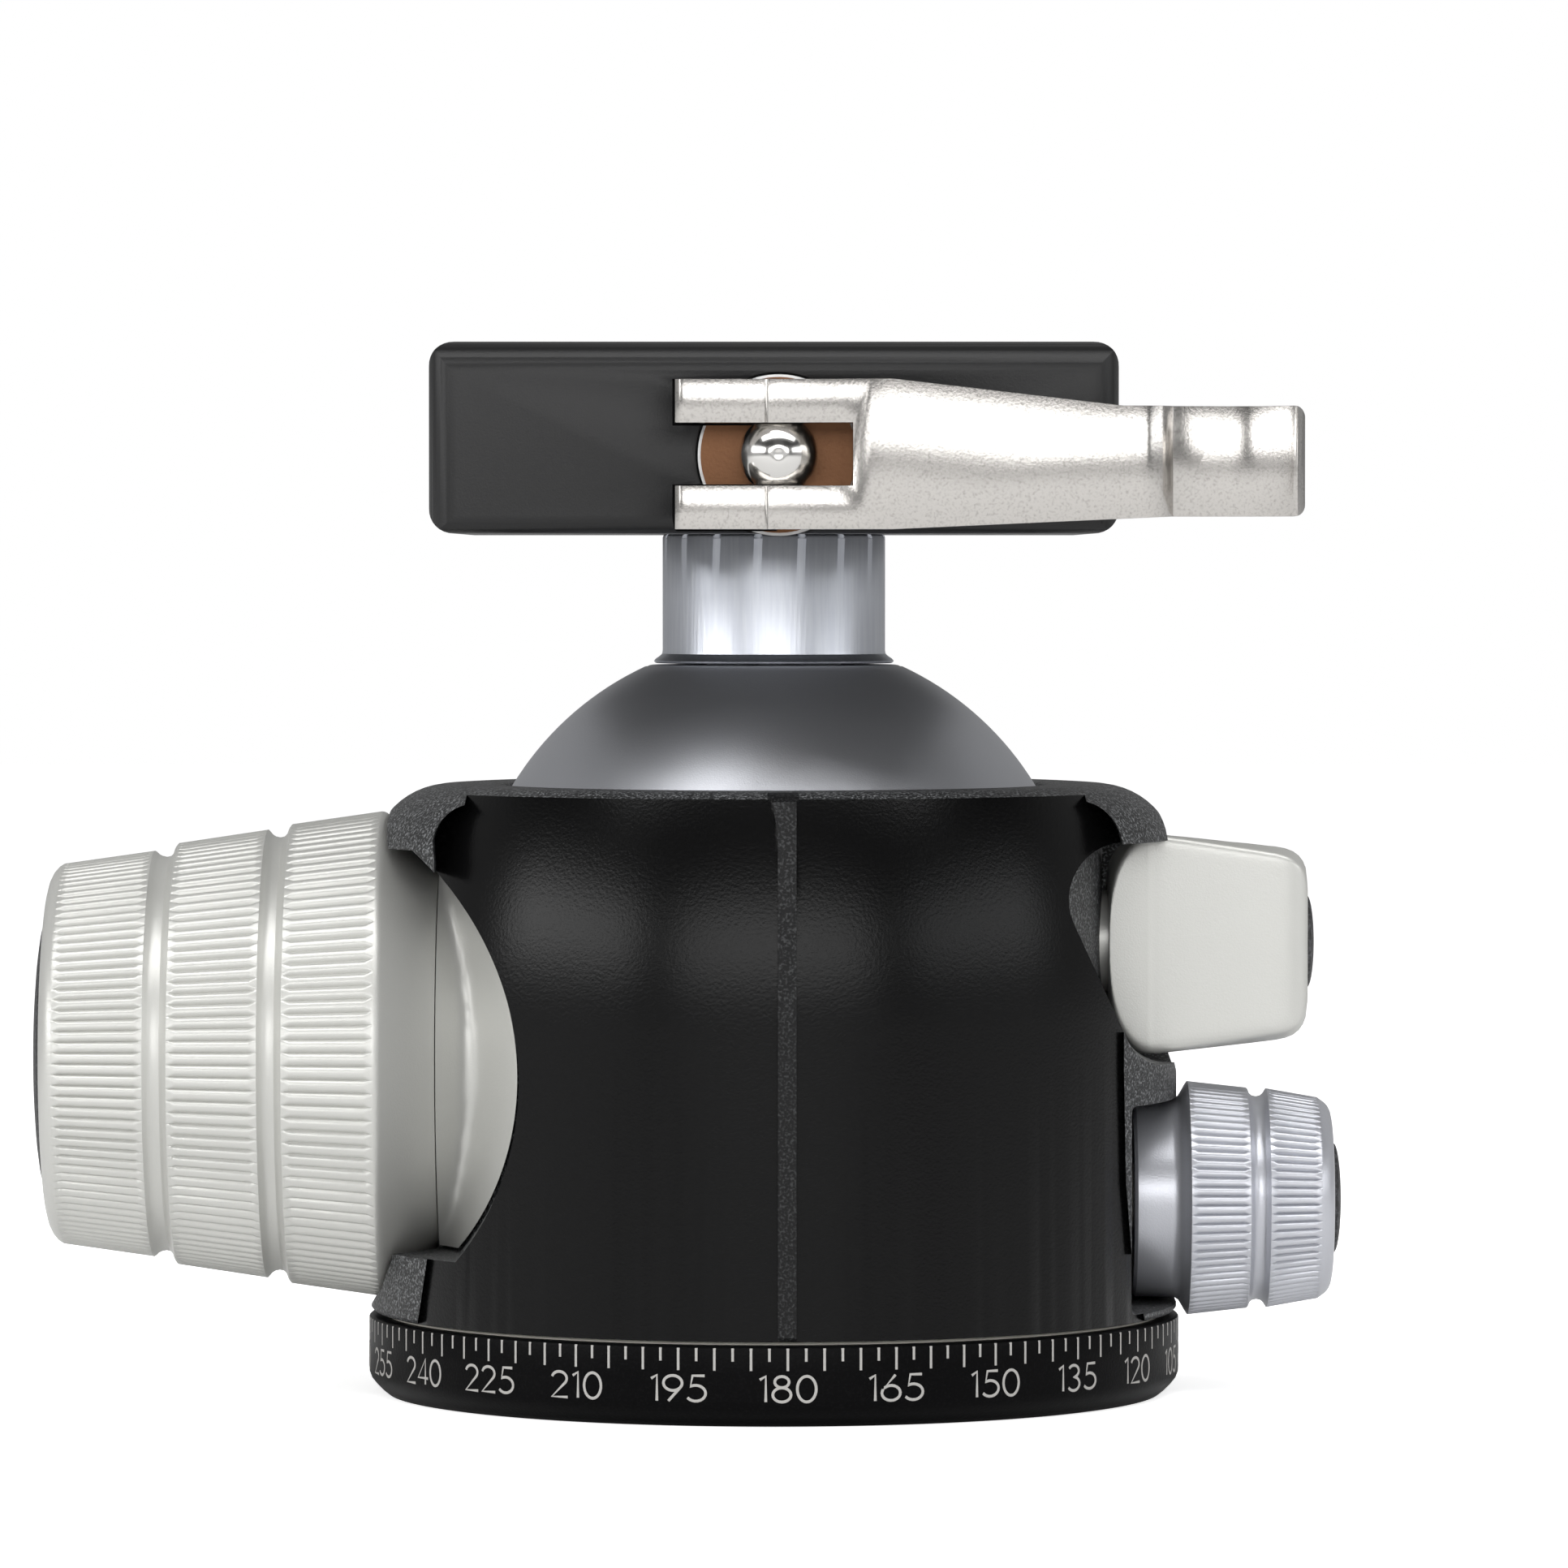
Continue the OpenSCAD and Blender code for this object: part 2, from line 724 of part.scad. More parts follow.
module lock_shoe() {
    color("#9a7a44") difference() {
        translate([0, 0, lock_z]) along_x(-shoe_back, 0, shoe_r, shoe_r);
        translate([0, 0, ball_z]) sphere(liner_in);
        translate([0, -far, 0]) cube([far, 2 * far, far]);
        translate([0, 0, lock_z]) along_x(-far, -shoe_bore_end, shoe_bore_r, shoe_bore_r);
        translate([-ball_r / 2, -far, 0]) cube([far, 2 * far, far]);
    }
}

// Tension knob: a turned body with three flats that leave it nearly triangular
module tension_knob() {
    fall = atan2(tension_r - tension_end_r, tension_end - tension_wide);
    back_r = tension_bush_r + 2 * edge;
    color("#c9cac5") translate([0, 0, tension_z]) difference() {
        rotate([0, 90, 0]) rotate_extrude() polygon(concat([[0, tension_back], [back_r, tension_back]],
            [for (a = [15:15:75]) [back_r + (tension_r - back_r) * sin(a),
                tension_wide - tension_belly * cos(a)]],
            [[tension_r, tension_wide], [tension_end_r + edge, tension_end - 4 * edge],
             [tension_end_r - edge, tension_end - edge], [tension_end_r - 4 * edge, tension_end],
             [0, tension_end]]));
        for (a = [90, 210, 330]) rotate([a, 0, 0])
            translate([tension_back, -far, tension_flat]) rotate([0, fall * flat_lean, 0])
                translate([-over, 0, 0]) cube([far, 2 * far, far]);
        along_x(0, tension_end - edge, screw_r, screw_r);
        along_x(tension_end - tension_cap_in, far, tension_cap_r, tension_cap_r);
        along_x(0, tension_bush_end + gap, tension_bush_r + gap, tension_bush_r + gap);
    }
}

module tension_cap() {
    color("#1c1c1e") translate([0, 0, tension_z])
        domed_cap(tension_end - tension_cap_in, tension_cap_r, 2 * edge, 2 * edge);
}

module tension_screw() {
    color("#8c9094") translate([0, 0, tension_z]) {
        along_x(pad_back + over, tension_end - edge, screw_r, screw_r);
        along_x(pad_bore_end + over, pad_back + 2 * over, screw_tip_r - fit, screw_tip_r - fit);
    }
}

module tension_pad() {
    color("#9a7a44") difference() {
        translate([0, 0, tension_z]) along_x(ball_r / 2, pad_back, pad_r, pad_r);
        translate([0, 0, ball_z]) sphere(liner_in);
        translate([0, 0, tension_z]) along_x(pad_bore_end, far, screw_tip_r, screw_tip_r);
    }
}

// Panning knob and its shoe, which grips the spigot's groove

module pan_knob() {
    lip_r = pan_r - pan_falls[4];
    at = [for (m = pan_marks) pan_back + m];
    rings = concat(
        [[pan_back, pan_collar_r - edge, 0], [pan_back + edge, pan_collar_r, 0],
         [at[0], pan_collar_r, 0], [at[1], pan_collar_r + 4 * edge, 0]],
        band_rings(at[2], at[3], pan_r, pan_r - pan_falls[0], flute_depth, flute_run),
        [[at[4], pan_r - pan_falls[1], 0], [at[5], pan_r - pan_falls[1], 0]],
        band_rings(at[6], at[7], pan_r - pan_falls[2], pan_r - pan_falls[3], flute_depth, flute_run),
        [[pan_end - edge, lip_r, 0], [pan_end, lip_r - 2 * edge, 0]]);
    color("#9aa0a8") translate([0, 0, pan_z]) difference() {
        fluted(rings, pan_flutes);
        along_x(0, pan_end - 2 * over, screw_r, screw_r);
        along_x(0, pan_shoe_back + over, pad_r + gap, pad_r + gap);
    }
}

module pan_cap() {
    color("#1c1c1e") translate([0, 0, pan_z]) domed_cap(pan_end, pan_r / 2 - edge, edge, 2 * edge);
}

module pan_screw() {
    color("#8c9094") translate([0, 0, pan_z]) {
        along_x(pan_shoe_back + over, pan_end - 2 * over, screw_r, screw_r);
        along_x(pan_shoe_back - over, pan_shoe_back + 2 * over, screw_tip_r - fit, screw_tip_r - fit);
    }
}

module pan_shoe() {
    color("#9a7a44") translate([0, 0, pan_z]) difference() {
        union() {
            along_x(pan_shoe_tip, spigot_r, pan_shoe_tip_r, pan_shoe_neck_r);
            along_x(spigot_r, bore_r + fit, pan_shoe_neck_r, pan_shoe_neck_r);
            along_x(bore_r + fit, pan_shoe_back, pad_r, pad_r);
        }
        along_x(pan_shoe_back - 2 * over - gap, far, screw_tip_r, screw_tip_r);
    }
}

// Ball, liner and neck

module ball_liner() {
    color("#e8e4d8") intersection() {
        difference() {
            translate([0, 0, ball_z]) sphere(liner_out);
            translate([0, 0, ball_z]) sphere(liner_in);
        }
        translate([-liner_half_w, -far, ball_z - liner_low])
            cube([2 * liner_half_w, 2 * far, liner_low - liner_high]);
    }
}

module ball() {
    color("#9aa0a8") difference() {
        translate([0, 0, ball_z]) sphere(ball_r);
        translate([-far, -far, shoulder_z]) cube([2 * far, 2 * far, far]);
        translate([0, 0, shoulder_z - tail_depth]) cylinder(h = far, r = tail_r + fit);
    }
}

module stem() {
    foot_z = shoulder_z + seam;
    color("#a0a6ae") difference() {
        union() {
            translate([0, 0, shoulder_z - tail_depth + seam])
                cylinder(h = tail_depth, r = tail_r);
            translate([0, 0, foot_z]) cylinder(h = clamp_z - foot_z, r = neck_r);
            translate([0, 0, foot_z]) cylinder(h = neck_flare, r1 = neck_r + neck_flare, r2 = neck_r);
        }
        translate([0, 0, clamp_z - clamp_screw_len + clamp_head_h + over])
            cylinder(h = clamp_screw_len, r = clamp_screw_r);
    }
}

// Clamp

// The whole clamp block, rounded along all its edges
module clamp_block() {
    intersection() {
        sweep_x(-clamp_len / 2, clamp_len / 2) {
            translate([-clamp_w / 2, clamp_z]) round_rect(clamp_w, 2 * clamp_round, clamp_foot_round);
            translate([-clamp_w / 2, clamp_z + clamp_round])
                round_rect(clamp_w, clamp_h - clamp_round, clamp_round);
            translate([-clamp_w / 2, clamp_z + clamp_round])
                square([clamp_w, clamp_round]);
        }
        sweep_y(-clamp_w, clamp_w) translate([-clamp_len / 2, clamp_z])
            round_rect(clamp_len, clamp_h, clamp_end_round);
        translate([0, 0, clamp_z]) linear_extrude(clamp_h)
            translate([-clamp_len / 2, -clamp_w / 2]) round_rect(clamp_len, clamp_w, clamp_corner);
    }
}

// Side view of the part behind the split, with the groove cut out of it
module body_outline() {
    rise = groove_depth - 2 * lip_h - lip_h;
    w = plate_w / 2;
    polygon([[-w, 0], [far, 0], [far, clamp_top + over], [w - rise, clamp_top + over],
        [w - rise, clamp_top - lip_h], [w, groove_z + 2 * lip_h], [w, groove_z], [-w, groove_z]]);
}

module jaw_outline() {
    rise = groove_depth - 2 * lip_h - lip_h;
    w = plate_w / 2 + split_gap;
    polygon([[-far, 0], [-w, 0], [-w, groove_z + 2 * lip_h], [-w + rise, clamp_top - lip_h],
        [-w + rise, clamp_top + over], [-far, clamp_top + over]]);
}

module clamp_body() {
    color("#2c2c2e") difference() {
        intersection() {
            clamp_block();
            sweep_x(-far, far) body_outline();
        }
        translate([0, 0, groove_z - clamp_head_h - edge]) cylinder(h = far, r = clamp_head_r + fit);
        translate([0, 0, clamp_z - over]) cylinder(h = clamp_h, r = clamp_screw_r);
        translate([pivot_x, 0, pivot_z]) along_y(-far, rod_end_y, rod_r);
        for (x = [-pin_x, pin_x]) translate([x, 0, pin_z]) along_y(-far, -pin_in, pin_r);
    }
}

module clamp_screw() {
    top = groove_z - edge;
    color("#6c7074") difference() {
        union() {
            translate([0, 0, top - clamp_head_h]) cylinder(h = clamp_head_h, r = clamp_head_r);
            translate([0, 0, top - clamp_screw_len]) cylinder(h = clamp_screw_len - edge, r = clamp_screw_r);
        }
        translate([0, 0, top - clamp_head_h / 2]) cylinder(h = far, r = clamp_screw_r - edge, $fn = 6);
    }
}

module pull_rod() {
    color("#c8cacc") {
        intersection() {
            translate([pivot_x, pivot_y, pivot_z]) sphere(rod_ball_r);
            translate([pivot_x, 0, pivot_z]) along_y(-far, pivot_y + rod_ball_back, rod_ball_r + fit);
        }
        translate([pivot_x, 0, pivot_z]) along_y(pivot_y, rod_end_y, rod_r);
    }
}

module guide_pins() {
    color("#c8cacc") for (x = [-pin_x, pin_x])
        translate([x, 0, pin_z]) along_y(-pin_out, -pin_in, pin_r);
}

// Room for the fork's heel as the lever opens and the jaw moves out
module heel_sweep() {
    for (s = [0, 1], open = [0, jaw_travel]) intersection() {
        translate([pivot_x, pivot_y + open, pivot_z + s * slot_h / 2 - (1 - s) * fork_h / 2 - heel_clear])
            cylinder(h = (fork_h - slot_h) / 2 + 2 * heel_clear, r = heel_reach + 5 * heel_clear);
        translate([pivot_x - far - heel_back / 3, -far, 0]) cube([far, 2 * far, 2 * far]);
    }
}

module jaw() {
    color("#2c2c2e") difference() {
        intersection() {
            clamp_block();
            sweep_x(-far, far) jaw_outline();
        }
        translate([pivot_x, 0, pivot_z]) {
            along_y(-far, 0, rod_hole_r);
            along_y(-far, counterbore_y, counterbore_r);
        }
        for (x = [-pin_x, pin_x]) translate([x, 0, pin_z]) along_y(-pin_out - over / 2, 0, pin_r + fit);
        heel_sweep();
    }
}

module steel_washer() {
    color("#b4b6b8") difference() {
        translate([pivot_x, 0, pivot_z]) along_y(washer_face + bronze_t, counterbore_y, steel_r);
        translate([pivot_x, 0, pivot_z]) along_y(-far, 0, rod_hole_r);
        heel_sweep();
    }
}

module bronze_washer() {
    color("#8a5a34") difference() {
        translate([pivot_x, 0, pivot_z]) along_y(washer_face, washer_face + bronze_t, bronze_r);
        translate([pivot_x, 0, pivot_z]) along_y(-far, 0, rod_hole_r);
        heel_sweep();
    }
}

// Lever. The cam's outline keeps its contact with the washer at a steady
// rate: its support distance falls evenly with the opening angle.
function cam_point(a) =
    let (h = cam_h - cam_rate * a * PI / 180)
    [-h * sin(a) + cam_rate * cos(a), h * cos(a) + cam_rate * sin(a)];

module lever_plan() {
    bend = bend_x();
    polygon(concat(
        [[cam_flat, cam_h - fit], [cam_rate, cam_h]],
        [for (i = [1:11]) cam_point(lever_open * i / 11)],
        [[cam_point(lever_open)[0], -heel_back], [-heel_reach + edge, -heel_back],
         [-heel_reach, -heel_back - edge], [-heel_reach, -heel_front + 2 * edge],
         [-heel_reach + 2 * edge, -heel_front], [-slit_x - edge, -heel_front],
         [-slit_x, -heel_front + edge], [-slit_x + 2 * edge, -heel_front + edge]],
        [for (p = arm_front) [p[0], -heel_front - p[1]]],
        [[bend - bend_r, -heel_front - bend_rise]],
        arc(bend - bend_r, -heel_front + bend_r - bend_rise, bend_r, -90, -10, 5),
        arc(bend + bend_r, -heel_front + tab_mid - tab_r, tab_r, 80, 41, 5),
        [[lever_reach, -heel_front + tab_end], [lever_reach - tab_t, -heel_front + tab_end + tab_t]],
        arc(bend + bend_r - tab_t / 2, -heel_front + tab_mid - tab_r + tab_t / 3, tab_r + tab_back, 55, 86, 5),
        [[bend - arm_back[0], -heel_front + arm_back[1]], [bend - arm_back[2], -heel_front + arm_back[3]],
         [cam_flat + arm_back[2], -heel_front + arm_t], [cam_flat + 2, cam_h - 4 * edge]]));
}

// Front view: the fork, the arm that narrows to the right, and the tab
module lever_front() {
    half = fork_h / 2;
    difference() {
        polygon(concat([[-heel_reach, half], [arm_x, half], [arm_x + taper_len, half - taper_drop]],
            arc(lever_reach - tab_round, half - tab_drop - tab_round, tab_round, 90, 0, 4),
            arc(lever_reach - tab_round, -half + tab_lift + tab_round, tab_round, 0, -90, 4),
            [[bend_x(), -half + tab_lift], [arm_x, -half], [-heel_reach, -half]]));
        translate([-far, -slot_h / 2]) square([far + slot_x, slot_h]);
    }
}

function bend_x() = lever_reach - tab_len;

module lever() {
    color("#c4c0ba") translate([pivot_x, pivot_y, pivot_z]) difference() {
        intersection() {
            translate([0, 0, -fork_h]) linear_extrude(2 * fork_h) lever_plan();
            sweep_y(-far, far) lever_front();
        }
        sphere(rod_ball_r + fit);
    }
}

pan_base();
thread_bush();
base_screws();
pan_bearing();
pan_spigot();
snap_ring();
casing();
upper_seat();
lower_seat();
lock_bezel();
tension_bush();
lock_knob();
lock_cap();
lock_spindle();
lock_washer();
lock_shoe();
tension_knob();
tension_cap();
tension_screw();
tension_pad();
pan_knob();
pan_cap();
pan_screw();
pan_shoe();
ball_liner();
ball();
stem();
clamp_body();
clamp_screw();
pull_rod();
guide_pins();
jaw();
bronze_washer();
steel_washer();
lever();
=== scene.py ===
import json
import math
import random
import bpy
import bmesh
from mathutils import Matrix, Vector


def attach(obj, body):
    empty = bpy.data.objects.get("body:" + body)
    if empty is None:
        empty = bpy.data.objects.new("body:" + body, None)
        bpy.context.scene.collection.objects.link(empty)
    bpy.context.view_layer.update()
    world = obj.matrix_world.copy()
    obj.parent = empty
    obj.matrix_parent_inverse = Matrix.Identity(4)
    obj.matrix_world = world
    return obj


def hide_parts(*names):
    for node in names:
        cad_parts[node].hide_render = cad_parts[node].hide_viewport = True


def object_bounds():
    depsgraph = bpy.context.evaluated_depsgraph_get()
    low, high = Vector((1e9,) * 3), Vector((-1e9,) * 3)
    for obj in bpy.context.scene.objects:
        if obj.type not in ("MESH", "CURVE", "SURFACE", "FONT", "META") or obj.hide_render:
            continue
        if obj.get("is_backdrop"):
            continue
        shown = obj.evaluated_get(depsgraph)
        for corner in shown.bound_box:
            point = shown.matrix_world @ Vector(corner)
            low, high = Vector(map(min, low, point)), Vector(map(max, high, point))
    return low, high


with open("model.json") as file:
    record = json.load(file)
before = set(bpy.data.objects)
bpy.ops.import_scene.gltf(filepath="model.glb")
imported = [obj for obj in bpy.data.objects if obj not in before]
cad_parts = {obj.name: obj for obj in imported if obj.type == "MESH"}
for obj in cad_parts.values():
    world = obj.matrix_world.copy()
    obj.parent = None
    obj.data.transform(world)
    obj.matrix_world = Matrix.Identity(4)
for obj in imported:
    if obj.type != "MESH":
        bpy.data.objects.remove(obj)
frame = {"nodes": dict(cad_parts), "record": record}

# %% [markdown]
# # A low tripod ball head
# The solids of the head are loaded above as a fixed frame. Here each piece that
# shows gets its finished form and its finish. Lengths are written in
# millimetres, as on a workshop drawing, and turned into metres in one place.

MM = 0.001
bpy.ops.object.select_all(action="DESELECT")
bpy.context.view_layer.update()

# %% [markdown]
# ## Camera and light
# The head was photographed with a long lens from just above the clamp's
# underside. A long lens far away keeps the knobs from swelling, and a small
# sideways shift puts the neck where the picture has it.

# %% Camera
camera_data = bpy.data.cameras.new("camera")
camera_data.lens = 208.3
camera_data.sensor_width = 36
camera_data.shift_x = 0.00647
camera_data.clip_start, camera_data.clip_end = 0.05, 20
camera = bpy.data.objects.new("camera", camera_data)
bpy.context.scene.collection.objects.link(camera)
camera.location = (0, -0.816, 0.0748)
camera.rotation_euler = (math.radians(90 - 1.414), 0, 0)
bpy.context.scene.camera = camera
bpy.context.scene.view_settings.view_transform = "Standard"
print("camera", round(camera_data.lens), "mm lens")

# %% [markdown]
# Metal is mostly what it mirrors. A low row of strip boxes in front draws the
# soft band across the black casing, and a wide box overhead lights the ball.


# %% Softboxes
def softbox(name, place, aim, width, height, power, tint=(1, 1, 1)):
    """A rectangular area lamp that looks at a point."""
    data = bpy.data.lights.new(name, "AREA")
    data.shape = "RECTANGLE"
    data.size, data.size_y = width, height
    data.energy = power
    data.color = tint
    lamp = bpy.data.objects.new(name, data)
    bpy.context.scene.collection.objects.link(lamp)
    lamp.location = place
    lamp.rotation_euler = (Vector(aim) - Vector(place)).to_track_quat("-Z", "Y").to_euler()
    return lamp


middle = (0, 0, 0.05)
softbox("front strip", (0.0, -1.15, 0.32), middle, 1.25, 0.30, 4.9)
softbox("left strip", (-1.06, -0.56, 0.34), middle, 1.0, 0.26, 4.6)
softbox("right strip", (1.06, -0.56, 0.34), middle, 1.0, 0.26, 2.2, (0.98, 0.99, 1.0))
softbox("top box", (0.0, -0.46, 0.95), middle, 1.8, 0.46, 10.5)
print("three strips and a top box")

# %% White surroundings
world = bpy.data.worlds.new("surroundings")
bpy.context.scene.world = world
world.use_nodes = True
nodes, links = world.node_tree.nodes, world.node_tree.links
nodes.clear()
sky = nodes.new("ShaderNodeBackground")
sky.inputs["Color"].default_value = (1, 1, 1, 1)
rays = nodes.new("ShaderNodeLightPath")
way = nodes.new("ShaderNodeTexCoord")
height = nodes.new("ShaderNodeSeparateXYZ")
links.new(way.outputs["Generated"], height.inputs[0])
fade = nodes.new("ShaderNodeMapRange")
fade.interpolation_type = "SMOOTHSTEP"
for socket, value in (("From Min", 0.16), ("From Max", 0.52), ("To Min", 0.38), ("To Max", 0.08)):
    fade.inputs[socket].default_value = value
behind = nodes.new("ShaderNodeMath")
behind.operation = "MAXIMUM"
behind.inputs[1].default_value = 0.0
links.new(height.outputs["Y"], behind.inputs[0])
lowered = nodes.new("ShaderNodeMath")
lowered.operation = "MULTIPLY_ADD"
lowered.inputs[1].default_value = -0.9
links.new(behind.outputs[0], lowered.inputs[0])
links.new(height.outputs["Z"], lowered.inputs[2])
links.new(lowered.outputs[0], fade.inputs["Value"])
aside = nodes.new("ShaderNodeMath")
aside.operation = "ABSOLUTE"
links.new(height.outputs["X"], aside.inputs[0])
panels = nodes.new("ShaderNodeValToRGB")
for place, grey in ((0.17, 1.0), (0.31, 0.2), (0.66, 0.24), (0.92, 0.9)):
    stop = panels.color_ramp.elements.new(place)
    stop.color = (grey, grey, grey, 1)
panels.color_ramp.elements[0].color = (1, 1, 1, 1)
panels.color_ramp.interpolation = "EASE"
links.new(aside.outputs[0], panels.inputs["Fac"])
backdrop = nodes.new("ShaderNodeMath")
backdrop.operation = "MULTIPLY_ADD"
backdrop.use_clamp = True
backdrop.inputs[1].default_value = 1.6
links.new(behind.outputs[0], backdrop.inputs[0])
links.new(panels.outputs["Color"], backdrop.inputs[2])
studio = nodes.new("ShaderNodeMath")
studio.operation = "MULTIPLY"
links.new(fade.outputs["Result"], studio.inputs[0])
links.new(backdrop.outputs[0], studio.inputs[1])
soft_fill = 0.36
above = nodes.new("ShaderNodeMath")
above.operation = "SUBTRACT"
above.inputs[1].default_value = soft_fill
links.new(studio.outputs[0], above.inputs[0])
mirrored = nodes.new("ShaderNodeMath")
mirrored.operation = "MULTIPLY_ADD"
mirrored.inputs[2].default_value = soft_fill
links.new(rays.outputs["Is Glossy Ray"], mirrored.inputs[0])
links.new(above.outputs[0], mirrored.inputs[1])
seen = nodes.new("ShaderNodeMath")
seen.operation = "MAXIMUM"
links.new(rays.outputs["Is Camera Ray"], seen.inputs[0])
links.new(rays.outputs["Is Transmission Ray"], seen.inputs[1])
level = nodes.new("ShaderNodeMath")
level.operation = "MAXIMUM"
links.new(seen.outputs[0], level.inputs[0])
links.new(mirrored.outputs[0], level.inputs[1])
links.new(level.outputs[0], sky.inputs["Strength"])
out = nodes.new("ShaderNodeOutputWorld")
links.new(sky.outputs[0], out.inputs[0])

# %% Floor
bpy.ops.mesh.primitive_plane_add(size=5, location=(0, 0, 0))
floor = bpy.context.object
floor.name = "floor"
floor_paint = bpy.data.materials.new("white paper")
floor_paint.use_nodes = True
nodes, links = floor_paint.node_tree.nodes, floor_paint.node_tree.links
paper = nodes["Principled BSDF"]
paper.inputs["Base Color"].default_value = (0.86, 0.86, 0.86, 1)
paper.inputs["Roughness"].default_value = 0.9
paper.inputs["Specular IOR Level"].default_value = 0.0
paper.inputs["Emission Color"].default_value = (1, 1, 1, 1)
rays = nodes.new("ShaderNodeLightPath")
lift = nodes.new("ShaderNodeMath")
lift.operation = "MULTIPLY"
lift.inputs[1].default_value = 0.71
links.new(rays.outputs["Is Camera Ray"], lift.inputs[0])
links.new(lift.outputs[0], paper.inputs["Emission Strength"])
floor.data.materials.append(floor_paint)
floor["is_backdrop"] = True

# %% [markdown]
# ## Finishes
# Anodised and blasted metal is never quite even: a fine grain breaks up its
# reflections. One node group makes that grain and is used, at other sizes and
# depths, by nearly every finish.


# %% The grain group
def make_grain():
    """Noise as a height, and a second, sparser noise as a speckle mask."""
    tree = bpy.data.node_groups.new("grain", "ShaderNodeTree")
    face = tree.interface
    face.new_socket("Vector", in_out="INPUT", socket_type="NodeSocketVector")
    for title, value in (("Scale", 4000.0), ("Threshold", 0.5), ("Softness", 0.1)):
        socket = face.new_socket(title, in_out="INPUT", socket_type="NodeSocketFloat")
        socket.default_value = value
    face.new_socket("Height", in_out="OUTPUT", socket_type="NodeSocketFloat")
    face.new_socket("Speckle", in_out="OUTPUT", socket_type="NodeSocketFloat")
    nodes, links = tree.nodes, tree.links
    start, end = nodes.new("NodeGroupInput"), nodes.new("NodeGroupOutput")
    noise = nodes.new("ShaderNodeTexNoise")
    noise.inputs["Detail"].default_value = 3
    links.new(start.outputs["Vector"], noise.inputs["Vector"])
    links.new(start.outputs["Scale"], noise.inputs["Scale"])
    links.new(noise.outputs["Fac"], end.inputs["Height"])
    upper = nodes.new("ShaderNodeMath")
    upper.operation = "ADD"
    links.new(start.outputs["Threshold"], upper.inputs[0])
    links.new(start.outputs["Softness"], upper.inputs[1])
    spread = nodes.new("ShaderNodeMapRange")
    links.new(noise.outputs["Fac"], spread.inputs["Value"])
    links.new(start.outputs["Threshold"], spread.inputs["From Min"])
    links.new(upper.outputs[0], spread.inputs["From Max"])
    links.new(spread.outputs["Result"], end.inputs["Speckle"])
    return tree


grain = make_grain()


# %% A finish from a few numbers
def finish(name, colour, metal, rough, scale, depth, fleck=None, threshold=0.5, softness=0.15,
           rough_swing=0.0, stretch=(1, 1, 1), level=0.5):
    """A material whose grain can shade into a second colour, the fleck."""
    made = bpy.data.materials.new(name)
    made.use_nodes = True
    nodes, links = made.node_tree.nodes, made.node_tree.links
    shader = nodes["Principled BSDF"]
    shader.inputs["Base Color"].default_value = (*colour, 1)
    shader.inputs["Metallic"].default_value = metal
    shader.inputs["Roughness"].default_value = rough
    shader.inputs["Specular IOR Level"].default_value = level
    place = nodes.new("ShaderNodeTexCoord")
    mapping = nodes.new("ShaderNodeMapping")
    mapping.inputs["Scale"].default_value = stretch
    links.new(place.outputs["Object"], mapping.inputs["Vector"])
    tex = nodes.new("ShaderNodeGroup")
    tex.node_tree = grain
    tex.inputs["Scale"].default_value = scale
    tex.inputs["Threshold"].default_value = threshold
    tex.inputs["Softness"].default_value = softness
    links.new(mapping.outputs[0], tex.inputs["Vector"])
    if fleck:
        mix = nodes.new("ShaderNodeMix")
        mix.data_type = "RGBA"
        mix.inputs["A"].default_value = (*colour, 1)
        mix.inputs["B"].default_value = (*fleck, 1)
        links.new(tex.outputs["Speckle"], mix.inputs["Factor"])
        links.new(mix.outputs["Result"], shader.inputs["Base Color"])
    if rough_swing:
        swing = nodes.new("ShaderNodeMath")
        swing.operation = "MULTIPLY_ADD"
        swing.inputs[1].default_value = rough_swing
        swing.inputs[2].default_value = rough - rough_swing / 2
        links.new(tex.outputs["Height"], swing.inputs[0])
        links.new(swing.outputs[0], shader.inputs["Roughness"])
    if depth:
        bump = nodes.new("ShaderNodeBump")
        bump.inputs["Distance"].default_value = depth * MM
        bump.inputs["Strength"].default_value = 1.0
        links.new(tex.outputs["Height"], bump.inputs["Height"])
        links.new(bump.outputs[0], shader.inputs["Normal"])
    return made


peel_black = finish("black orange peel", (0.0012, 0.0012, 0.0013), 0, 0.25, 3600, 0.02, level=0.17)
blasted_grey = finish("blasted grey black", (0.014, 0.0145, 0.015), 0, 0.5, 4200, 0.10,
                      fleck=(0.17, 0.175, 0.18), threshold=0.5, softness=0.16, level=0.4)
# The mark is the shoulders' blasted finish painted several times darker: painted shade on the front-facing mark.
mark_grey_painted_shade = finish("blasted mark painted shade", (0.004, 0.004, 0.0043), 0, 0.5, 4200, 0.10,
                   fleck=(0.035, 0.036, 0.037), threshold=0.5, softness=0.16, level=0.2)
base_black = finish("base black", (0.0015, 0.0015, 0.0017), 0, 0.36, 4200, 0.02,
                    fleck=(0.004, 0.004, 0.0043), threshold=0.5, softness=0.3, level=0.05)
clamp_black = finish("clamp black", (0.007, 0.007, 0.0074), 0, 0.40, 5200, 0.015, level=0.36)
silver = finish("warm silver", (0.55, 0.55, 0.525), 0.5, 0.38, 6000, 0.012, rough_swing=0.12)
blue_silver = finish("bluish silver", (0.53, 0.54, 0.58), 0.7, 0.34, 6000, 0.012, rough_swing=0.12)
ball_grey = finish("ball grey", (0.47, 0.48, 0.51), 0.9, 0.42, 7000, 0.012, rough_swing=0.1)
neck_grey = finish("neck grey", (0.50, 0.52, 0.57), 1, 0.36, 3000, 0.02, fleck=(0.55, 0.57, 0.61),
                   threshold=0.4, softness=0.3, stretch=(1, 1, 0.06))
